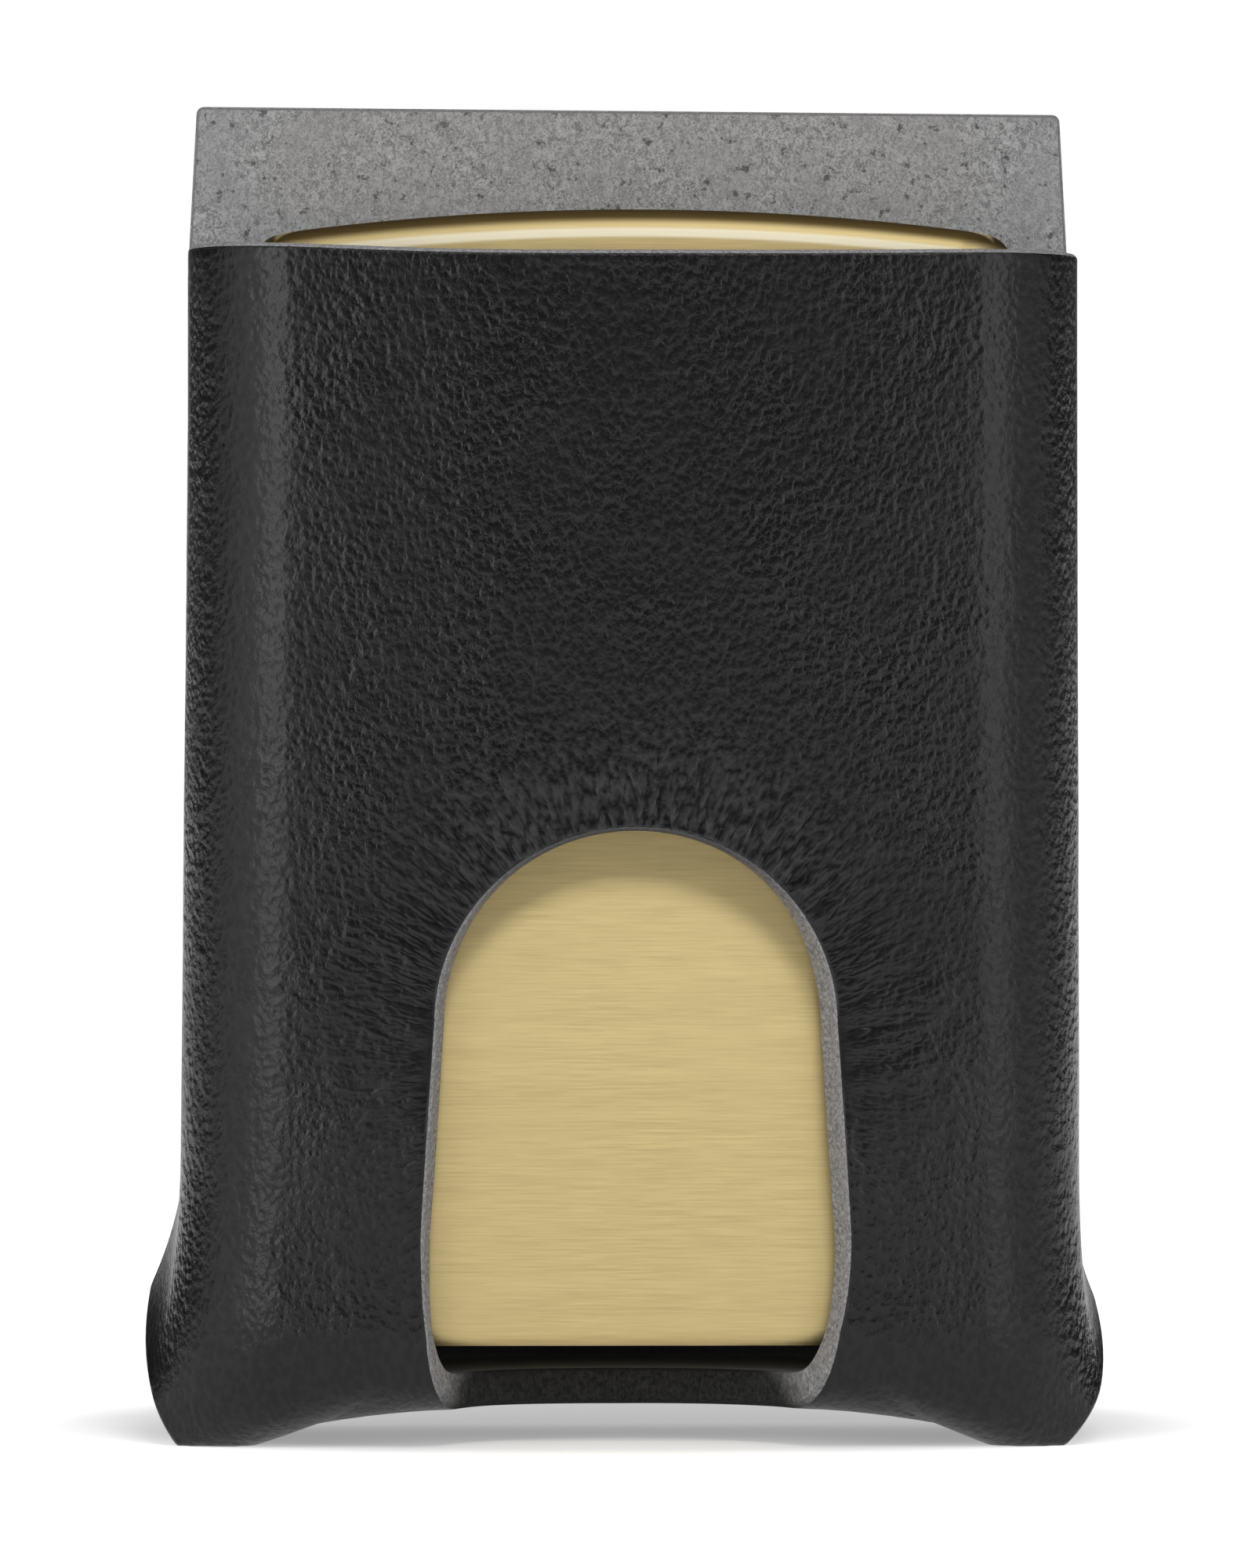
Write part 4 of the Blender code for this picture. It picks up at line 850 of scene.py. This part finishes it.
def grain_leather():
    """Black pebbled skin, pulled into streaks round the thumb hole's arch, and painted lighter
    grey just above the arch, a painted highlight.
    """
    made = Finish("black_leather_grain", *SKIN_BASE)
    drift = made.node("TexNoise", Vector=made.place(PEBBLE_WANDER, "flat"), Scale=1.0)
    wander = made.put(made.node("VectorMath", {"operation": "MULTIPLY_ADD"}),
                      {0: drift.outputs["Color"], 1: PEBBLE_SHIFT,
                       2: made.place(PEBBLES, "flat")})
    pits = made.node("TexVoronoi", {"feature": "SMOOTH_F1"}, Scale=1.0,
                     Vector=wander.outputs["Vector"], Smoothness=PEBBLE_SOFTNESS)
    ray = made.axes("rays")
    pull = made.spread(ray["Y"], *PULL_REACH)
    plain = made.spread(ray["Y"], *PLAIN_REACH)
    # Painted highlight: the streaks just above the arch are painted lighter grey
    fan_highlight = made.math("MULTIPLY", made.spread(made.math("ABSOLUTE", ray["X"]), *FAN_HIGHLIGHT_TURN),
                    made.math("MULTIPLY", pull, plain))
    grain = made.blend(GRAIN_ROUGH_SHARE, pits.outputs["Distance"],
                       made.noise(GRAIN_ROUGH, "flat"))
    height = made.blend(made.math("MULTIPLY", pull, STREAK_SHARE), grain,
                        made.noise(GRAIN_STREAKS, "rays"))
    patch = made.noise(GRAIN_PATCHES, "flat")
    depth = made.math("MULTIPLY", made.spread(patch, *NOISE_RANGE, *PATCH_DEPTHS),
                      made.blend(pull, 1.0, plain))
    gloss = made.math("ADD", patch, made.math("MULTIPLY", height, GLOSS_HEIGHT))
    return made.finished({
        "Normal": made.bump(made.math("MULTIPLY", height, depth), *GRAIN_BUMP),
        "Roughness": made.spread(gloss, *GRAIN_GLOSS),
        "Base Color": made.mix(made.spread(height, *PIT_HEIGHTS), PIT_BLACK,
                               made.mix(fan_highlight, SKIN_BLACK, FAN_HIGHLIGHT_GREY)),
        "Specular IOR Level": SKIN_SPECULAR})


def flesh_leather():
    """Grey flesh side, cloudy and specked, and painted black at the fold, as painted shade
    inside it.
    """
    made = Finish("leather_flesh_side", *FLESH_BASE)
    tone = made.math("ADD",
                     made.math("MULTIPLY", made.noise(FLESH_FIBRES, "flat"), FIBRE_SHARE),
                     made.math("MULTIPLY", made.noise(FLESH_NAP, "flat"), NAP_SHARE))
    pale = made.mix(made.spread(tone, *FLESH_TONES), *FLESH_GREYS)
    clouds = made.spread(made.noise(FLESH_CLOUDS, "flat"), *NOISE_RANGE, 0.0, CLOUD_SHARE)
    specks = made.spread(made.noise(FLESH_SPECKS, "flat"), *SPECK_RANGE, 1.0, 0.0)
    worn = made.mix(made.math("MULTIPLY", specks, SPECK_SHARE),
                    made.mix(clouds, pale, CLOUD_GREY), SPECK_GREY)
    # Painted shade: the flesh side inside the fold is painted black
    along = made.math("SUBTRACT", made.axes("flat")["Y"], FLAT_SPAN / 2)
    fold_shade = made.spread(made.math("ABSOLUTE", along), FOLD_RUN, FOLD_RUN + FOLD_SHADE_RUN,
                          FOLD_SHADE_SHARE, 0.0)
    return made.finished({
        "Base Color": made.mix(fold_shade, worn, FOLD_SHADE_BLACK),
        "Normal": made.bump(tone, *FLESH_BUMP), **FLESH_MATT})


def cut_leather():
    """Cut edge, bare at the hole and the tops, darker about the fold, and painted darker at the
    arch's top, a painted shade.
    """
    made = Finish("leather_cut_edge", *CUT_BASE)
    fibres = made.noise(CUT_FIBRES, "flat")
    along = made.math("SUBTRACT", made.axes("flat")["Y"], FLAT_SPAN / 2)
    dark_cut = made.math("MULTIPLY", made.spread(along, *DARK_CUT_FROM),
                     made.spread(along, *DARK_CUT_TO))
    # Painted shade: the cut edge at the arch's top, which faces down, is painted darker
    arch = made.math("MULTIPLY", made.spread(along, *ARCH_SHADE_FROM, 0.0, ARCH_SHADE_SHARE),
                     made.spread(along, *ARCH_SHADE_TO, 1.0, 0.0))
    bare = made.mix(arch, made.tint(fibres, CUT_GREYS), ARCH_SHADE_GREY)
    return made.finished({
        "Base Color": made.mix(dark_cut, bare, made.tint(fibres, DARK_CUT_GREYS)),
        "Normal": made.bump(fibres, *CUT_BUMP), **CUT_MATT})


def brushed_brass(name, lid=False):
    """Brushed level, so that its highlights run up and down. On the lid, the rounded top edge
    is painted dark, a painted shade and dark reflection, and the arris under it is painted
    bright, a painted highlight."""
    made = Finish(name, *BRASS_BASE, 1.0)
    lines = made.blend(BANDS_SHARE, made.noise(BRASS_LINES), made.noise(BRASS_BANDS))
    haze = made.spread(made.noise(BRASS_HAZE), *NOISE_RANGE, 0.0, HAZE_SHARE)
    tone = made.mix(haze, made.tint(lines, BRASS_TONES), BRASS_HAZY)
    if lid:
        spot = made.axes()
        off = made.math("SUBTRACT", spot["X"], ORIGIN.x)
        deep = made.math("SUBTRACT", spot["Y"], ORIGIN.y)
        fall = made.math("MULTIPLY", made.math("MULTIPLY", off, off), 0.5 / LID_CROWN_RADIUS)
        below = made.math("SUBTRACT", ORIGIN.z + LIGHTER_HEIGHT,
                          made.math("ADD", spot["Z"], fall))
        # Painted highlight: a bright band is painted on the arris under the lid's rounded edge
        arris = made.math("MULTIPLY", made.spread(below, *ARRIS_HIGHLIGHT_RISE),
                          made.spread(below, *ARRIS_HIGHLIGHT_FALL))
        tone = made.mix(made.math("MULTIPLY", arris, ARRIS_HIGHLIGHT_SHARE), tone, BRASS_HIGHLIGHT)
        # Painted shade: the lid's rounded top edge is painted dark, for shade and a dark
        # reflection
        inset = made.math("MINIMUM",
                          made.math("SUBTRACT", HALF_WIDTH, made.math("ABSOLUTE", off)),
                          made.math("SUBTRACT", HALF_DEPTH, made.math("ABSOLUTE", deep)))
        dark = made.math("MULTIPLY", made.spread(inset, *LID_SHADE_IN),
                         made.spread(below, *LID_SHADE_DOWN, 0.0, LID_SHADE_SHARE))
        tone = made.mix(dark, tone, BRASS_EDGE_SHADE)
    return made.finished({
        "Base Color": tone, "Roughness": made.spread(lines, *LINES_RANGE, *BRASS_ROUGH),
        "Normal": made.bump(lines, *BRASS_BUMP), "Anisotropic": BRUSHING,
        "Tangent": made.node("Tangent", {"direction_type": "RADIAL", "axis": "X"}).outputs[0]})


def metal(name, colours, rough, texture):
    made = Finish(name, colours[1], rough, 1.0)
    lines = made.noise(texture)
    return made.finished({
        "Base Color": made.tint(made.noise(STEEL_HAZE), colours),
        "Roughness": made.spread(lines, *LINES_RANGE, *(rough * r for r in STEEL_RANGE)),
        "Normal": made.bump(lines, *STEEL_BUMP)})


def soft_white(name, colours, texture):
    made = Finish(name, colours[1], SOFT_ROUGH)
    fluff = made.noise(texture)
    return made.finished({
        "Base Color": made.tint(fluff, colours),
        "Normal": made.bump(fluff, *SOFT_BUMP), **SOFT_MATT})


def pressed_flint():
    made = Finish("flint_finish", *FLINT_BASE)
    pores = made.noise(FLINT_PORES)
    return made.finished({"Base Color": made.tint(pores, FLINT_GREYS),
                          "Normal": made.bump(pores, *FLINT_BUMP)})


# Brass shells of the lighter, finer than their solids

def arc(cx, cy, radius, start, end, steps):
    turns = [start + (end - start) * i / steps for i in range(steps + 1)]
    return [(cx + radius * math.cos(a), cy + radius * math.sin(a)) for a in turns]


def shell_outline(inset):
    radius = max(SHELL_CORNER - inset, LEAST_RADIUS)
    x, y = HALF_WIDTH - inset - radius, HALF_DEPTH - inset - radius
    front = [(-x + 2 * x * i / SHELL_FACE_STEPS, -y - radius)
             for i in range(1, SHELL_FACE_STEPS)]
    outline = arc(-x, -y, radius, math.pi, 3 * QUARTER, SHELL_CORNER_STEPS) + front
    outline += arc(x, -y, radius, -QUARTER, 0, SHELL_CORNER_STEPS)
    return outline + [(a, -b) for a, b in reversed(outline)]


def shell(name, z_open, z_end, edge, crowned, finish):
    """An open brass box with one closed end, whose edges are finely rounded."""
    way = 1 if z_end > z_open else -1
    lip, broken = SHELL_LIP, SHELL_LIP * SHELL_LIP_BREAK

    def ring(inset, z, dropped):
        outline = shell_outline(inset)
        drop = [x * x / 2 / LID_CROWN_RADIUS if dropped and crowned else 0 for x, _y in outline]
        return [(x, y, z - way * d) for (x, y), d in zip(outline, drop)]

    def side(inset, z_far, radius):
        rings = [ring(inset, z_far - way * radius, True)]
        for i in range(1, SHELL_EDGE_STEPS + 1):
            a = QUARTER * i / SHELL_EDGE_STEPS
            rings.append(ring(inset + radius * (1 - math.cos(a)),
                              z_far - way * radius * (1 - math.sin(a)), True))
        return rings

    outer = [ring(lip, z_open, False), ring(broken, z_open + way * broken, False),
             ring(0, z_open + way * lip, False)] + side(0, z_end, edge)
    inner = [ring(SHELL_WALL - lip, z_open, False), ring(SHELL_WALL, z_open + way * lip, False)]
    inner += side(SHELL_WALL, z_end - way * SHELL_WALL, max(edge - SHELL_WALL, LEAST_RADIUS))
    count = len(outer[0])
    points, quads, starts = [], [], []
    for rings in (outer, inner):
        starts.append(len(points))
        for k, one in enumerate(rings):
            if k:
                base = len(points) - count
                for i in range(count):
                    j = (i + 1) % count
                    quads.append((base + i, base + j, base + count + j, base + count + i))
            points += one
        cap = len(points) - count
        for i in range(count // 2 - 1):
            quads.append((cap + i, cap + i + 1, cap + count - 2 - i, cap + count - 1 - i))
    for i in range(count):
        j = (i + 1) % count
        quads.append((starts[0] + j, starts[0] + i, starts[1] + i, starts[1] + j))
    made = mesh_object(name, np.array(points) + np.array(ORIGIN), np.array(quads), [finish])
    bm = bmesh.new()
    bm.from_mesh(made.data)
    bmesh.ops.recalc_face_normals(bm, faces=bm.faces[:])
    bm.to_mesh(made.data)
    bm.free()
    notch_for_hinge(made)
    made.data.shade_smooth()
    made.data.set_sharp_from_angle(angle=SHARP_ANGLE)
    return made


def notch_for_hinge(target):
    """Open the left wall where the hinge's barrel lies."""
    half = HINGE_LENGTH / 2 + CLEARANCE
    rise = HINGE_BARREL_RADIUS + CLEARANCE
    middle = LOWER_SHELL_HEIGHT + SPLIT_GAP / 2
    low = Vector((-HALF_WIDTH - NOTCH_REACH, -half, middle - rise)) + ORIGIN
    high = Vector((-(LEAF_INNER_X + HINGE_LEAF_THICKNESS), half, middle + rise)) + ORIGIN
    corners = np.array([[(low, high)[i >> k & 1][k] for k in range(3)] for i in range(8)])
    sides = np.array([(0, 2, 3, 1), (4, 5, 7, 6), (0, 1, 5, 4), (2, 6, 7, 3), (0, 4, 6, 2),
                      (1, 3, 7, 5)])
    tool = mesh_object("notch_tool", corners, sides, [])
    change = target.modifiers.new("notch", "BOOLEAN")
    change.operation, change.object = "DIFFERENCE", tool
    bpy.context.view_layer.update()
    evaluated = target.evaluated_get(bpy.context.evaluated_depsgraph_get())
    carved = bpy.data.meshes.new_from_object(evaluated)
    target.modifiers.clear()
    target.data = carved
    bpy.data.objects.remove(tool, do_unlink=True)


# Cotton and felt inside the lighter

def soft_piece(name, node, fluffy, finish, strands=0):
    """The node's shape in fine faces, with its surface sunk in by loose fluff, or by the
    twist of a number of strands."""
    voxel, sink, scale = fluffy
    source = frame["nodes"][node]
    mesh = source.data.copy()
    mesh.transform(source.matrix_world)
    made = bpy.data.objects.new(name, mesh)
    bpy.context.scene.collection.objects.link(made)
    remesh = made.modifiers.new("faces", "REMESH")
    remesh.mode, remesh.voxel_size = "VOXEL", voxel * MM
    even = made.modifiers.new("even", "SMOOTH")
    even.factor, even.iterations = SMOOTHING
    bpy.context.view_layer.update()
    evaluated = made.evaluated_get(bpy.context.evaluated_depsgraph_get())
    fine = bpy.data.meshes.new_from_object(evaluated)
    made.modifiers.clear()
    made.data = fine
    middle = sum((v.co for v in fine.vertices), Vector()) / len(fine.vertices)
    normals = [v.normal.copy() for v in fine.vertices]
    for vertex, normal in zip(fine.vertices, normals):
        place = vertex.co / MM
        fluff = 0.5 + 0.5 * noise.fractal(place * scale, *FLUFF_OCTAVES)
        if strands:
            off = vertex.co - middle
            turn = math.atan2(off.y, off.x) * strands + place.z * STRAND_TWIST
            strand = (0.5 - 0.5 * math.cos(turn)) ** 2
            fluff = FLUFF_SHARE * fluff + STRAND_SHARE * strand
        vertex.co -= normal * sink * MM * min(max(fluff, 0.0), 1.0)
    fine.materials.clear()
    fine.materials.append(finish)
    fine.shade_smooth()
    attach(made, "lighter")
    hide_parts(node)
    return made


# Stage: floor, lamps and camera

def floor_finish():
    """Pale floor that shows white to the camera and keeps the shadow; round the case it glows
    less, painted shade that is a little deeper behind the case.
    """
    made = Finish("floor_white", *FLOOR_BASE)
    path = made.node("LightPath")
    seen = made.math("MAXIMUM", path.outputs["Is Camera Ray"],
                     made.math("MAXIMUM", path.outputs["Is Glossy Ray"],
                               path.outputs["Is Transmission Ray"]))
    behind = made.put(made.node("VectorMath", {"operation": "SUBTRACT"}),
                      {0: made.place((1 / FLOOR_NEAR[0], 1 / FLOOR_NEAR[1], 0.0)),
                       1: (0.0, FLOOR_BEHIND / FLOOR_NEAR[1], 0.0)})
    place = made.node("VectorMath", {"operation": "LENGTH"}, Vector=behind.outputs[0])
    # Painted shade: within the oval round the case the floor glows less, and a little less
    # behind it
    near = made.spread(made.axes()["Y"], *FLOOR_DEPTHS, *FLOOR_GLOWS)
    glow = made.blend(made.spread(place.outputs["Value"], 1.0, FLOOR_FAR), near, FLOOR_WHITE)
    return made.finished({"Specular IOR Level": 0.0, "Emission Color": (1, 1, 1, 1),
                          "Emission Strength": made.math("MULTIPLY", seen, glow)})


def make_floor():
    corners = FLOOR_REACH * np.array([(-1, -1, 0), (1, -1, 0), (1, 1, 0), (-1, 1, 0)])
    floor = mesh_object("floor", corners, np.array([(0, 1, 2, 3)]), [floor_finish()])


def make_world():
    """White surroundings; in what polish shows of them, dark cards stand in front and
    obliquely behind."""
    world = bpy.data.worlds.new("studio")
    world.use_nodes = True
    nodes, links = world.node_tree.nodes, world.node_tree.links

    def node(kind, **values):
        made = nodes.new("ShaderNode" + kind)
        for key, value in values.items():
            if isinstance(value, bpy.types.NodeSocket):
                links.new(value, made.inputs[key.replace("_", " ")])
            else:
                made.inputs[key.replace("_", " ")].default_value = value
        return made

    path = node("LightPath").outputs
    seen = path["Is Camera Ray"]
    for kind in ("Is Glossy Ray", "Is Transmission Ray"):
        either = nodes.new("ShaderNodeMath")
        either.operation = "MAXIMUM"
        links.new(seen, either.inputs[0])
        links.new(path[kind], either.inputs[1])
        seen = either.outputs[0]
    ahead = node("SeparateXYZ", Vector=nodes.new("ShaderNodeTexCoord").outputs["Generated"])
    depth = node("MapRange", Value=ahead.outputs["Y"], From_Min=-1.0)
    cards = node("ValToRGB", Fac=depth.outputs["Result"])
    ramp = cards.color_ramp
    ramp.interpolation = "EASE"
    while len(ramp.elements) < len(CARD_STOPS):
        ramp.elements.new(0.5)
    for stop, (place, light) in zip(ramp.elements, CARD_STOPS):
        stop.position, stop.color = (place + 1) / 2, (light, light, light, 1)
    glossy = node("MapRange", Value=path["Is Glossy Ray"], To_Min=1.0,
                  To_Max=cards.outputs["Color"])
    level = node("MapRange", Value=seen, To_Min=WORLD_LIGHT, To_Max=glossy.outputs["Result"])
    back = nodes["Background"]
    links.new(level.outputs["Result"], back.inputs["Strength"])
    back.inputs["Color"].default_value = (1, 1, 1, 1)
    bpy.context.scene.world = world


def make_softbox(name, azimuth, elevation, distance, size, power):
    """A soft lamp aimed at the middle of the case; azimuth 0 is in front."""
    lamp = bpy.data.lights.new(name, "AREA")
    lamp.shape, lamp.size, lamp.size_y = "RECTANGLE", size[0] * MM, size[1] * MM
    lamp.energy = power
    made = bpy.data.objects.new(name, lamp)
    a, e = math.radians(azimuth), math.radians(elevation)
    back = Vector((math.sin(a) * math.cos(e), -math.cos(a) * math.cos(e), math.sin(e)))
    made.location = (Vector((0, 0, LAMP_AIM)) + back * distance) * MM
    made.rotation_euler = (-back).to_track_quat("-Z", "Y").to_euler()
    bpy.context.scene.collection.objects.link(made)
    made.visible_camera = False


def make_camera():
    turn = CAMERA_TURN
    ahead = Vector((math.sin(turn), math.cos(turn), 0))
    right = Vector((math.cos(turn), -math.sin(turn), 0))
    place = Vector((ORIGIN.x, 0, CAMERA_HEIGHT)) - ahead * CAMERA_DISTANCE
    across = (FRAME_SIZE[0] / 2 - AXIS_PIXEL[0]) / FOCAL_PIXELS
    down = (FRAME_SIZE[1] / 2 - AXIS_PIXEL[1]) / FOCAL_PIXELS
    aim = ahead + right * across - Vector((0, 0, 1)) * down
    data = bpy.data.cameras.new("camera")
    data.sensor_width = SENSOR
    data.lens = FOCAL_PIXELS * SENSOR / FRAME_SIZE[1]
    data.clip_start, data.clip_end = CLIP_NEAR, CLIP_FAR
    camera = bpy.data.objects.new("camera", data)
    camera.location = place * MM
    camera.rotation_euler = aim.to_track_quat("-Z", "Y").to_euler()
    bpy.context.scene.collection.objects.link(camera)
    bpy.context.scene.camera = camera


def dress_nodes(finishes):
    """Give every CAD node the finish of its slot."""
    for part in frame["record"]["subparts"]:
        node = frame["nodes"][part["node"]]
        node.data.materials.clear()
        node.data.materials.append(finishes[part["material_slot"]])


def main():
    skin = grain_leather()
    bpy.context.scene.view_settings.view_transform = "Standard"
    make_camera()
    make_world()
    make_floor()
    for name, lamp in LAMPS.items():
        make_softbox(name, *lamp)

    brass = brushed_brass("brushed_brass_finish")
    cotton = soft_white("cotton_finish", COTTON_WHITES, COTTON_FIBRES)
    felt = soft_white("felt_finish", FELT_WHITES, FELT_FIBRES)
    dress_nodes({
        "black_leather": skin, "brushed_brass": brass,
        "bright_steel": metal("bright_steel_finish", BRIGHT_STEEL, BRIGHT_ROUGH, STEEL_LINES),
        "dark_steel": metal("dark_steel_finish", DARK_STEEL, DARK_ROUGH, WHEEL_LINES),
        "flint_grey": pressed_flint(), "cotton": cotton, "felt": felt})

    points, quads, slots, flats = leather_mesh()
    case = mesh_object("leather_sheet", points, quads,
                       [skin, cut_leather(), flesh_leather()], slots)
    add_map(case.data, "flat", flats / FLAT_SPAN + 0.5)
    turn, reach = ray_place(flats)
    add_map(case.data, "rays", np.stack((turn, reach), -1) / RAY_SPAN)
    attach(case, "case")
    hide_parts("leather_case")

    lower = shell("brass_lower_shell", LOWER_SHELL_HEIGHT, 0, LOWER_EDGE_RADIUS, False, brass)
    lid = shell("brass_lid_shell", LOWER_SHELL_HEIGHT + SPLIT_GAP, LIGHTER_HEIGHT,
                LID_EDGE_RADIUS, True, brushed_brass("brushed_brass_lid_painted_light", True))
    for piece, node in ((lower, "lower_shell"), (lid, "lid_shell")):
        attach(piece, "lighter")
        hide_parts(node)

    soft_piece("cotton_wadding_fluff", "cotton_wadding", COTTON_FLUFF, cotton)
    soft_piece("wick_strand", "wick", WICK_FLUFF, cotton, WICK_STRANDS)
    soft_piece("felt_pad_cut", "felt_pad", FELT_FLUFF, felt)


main()
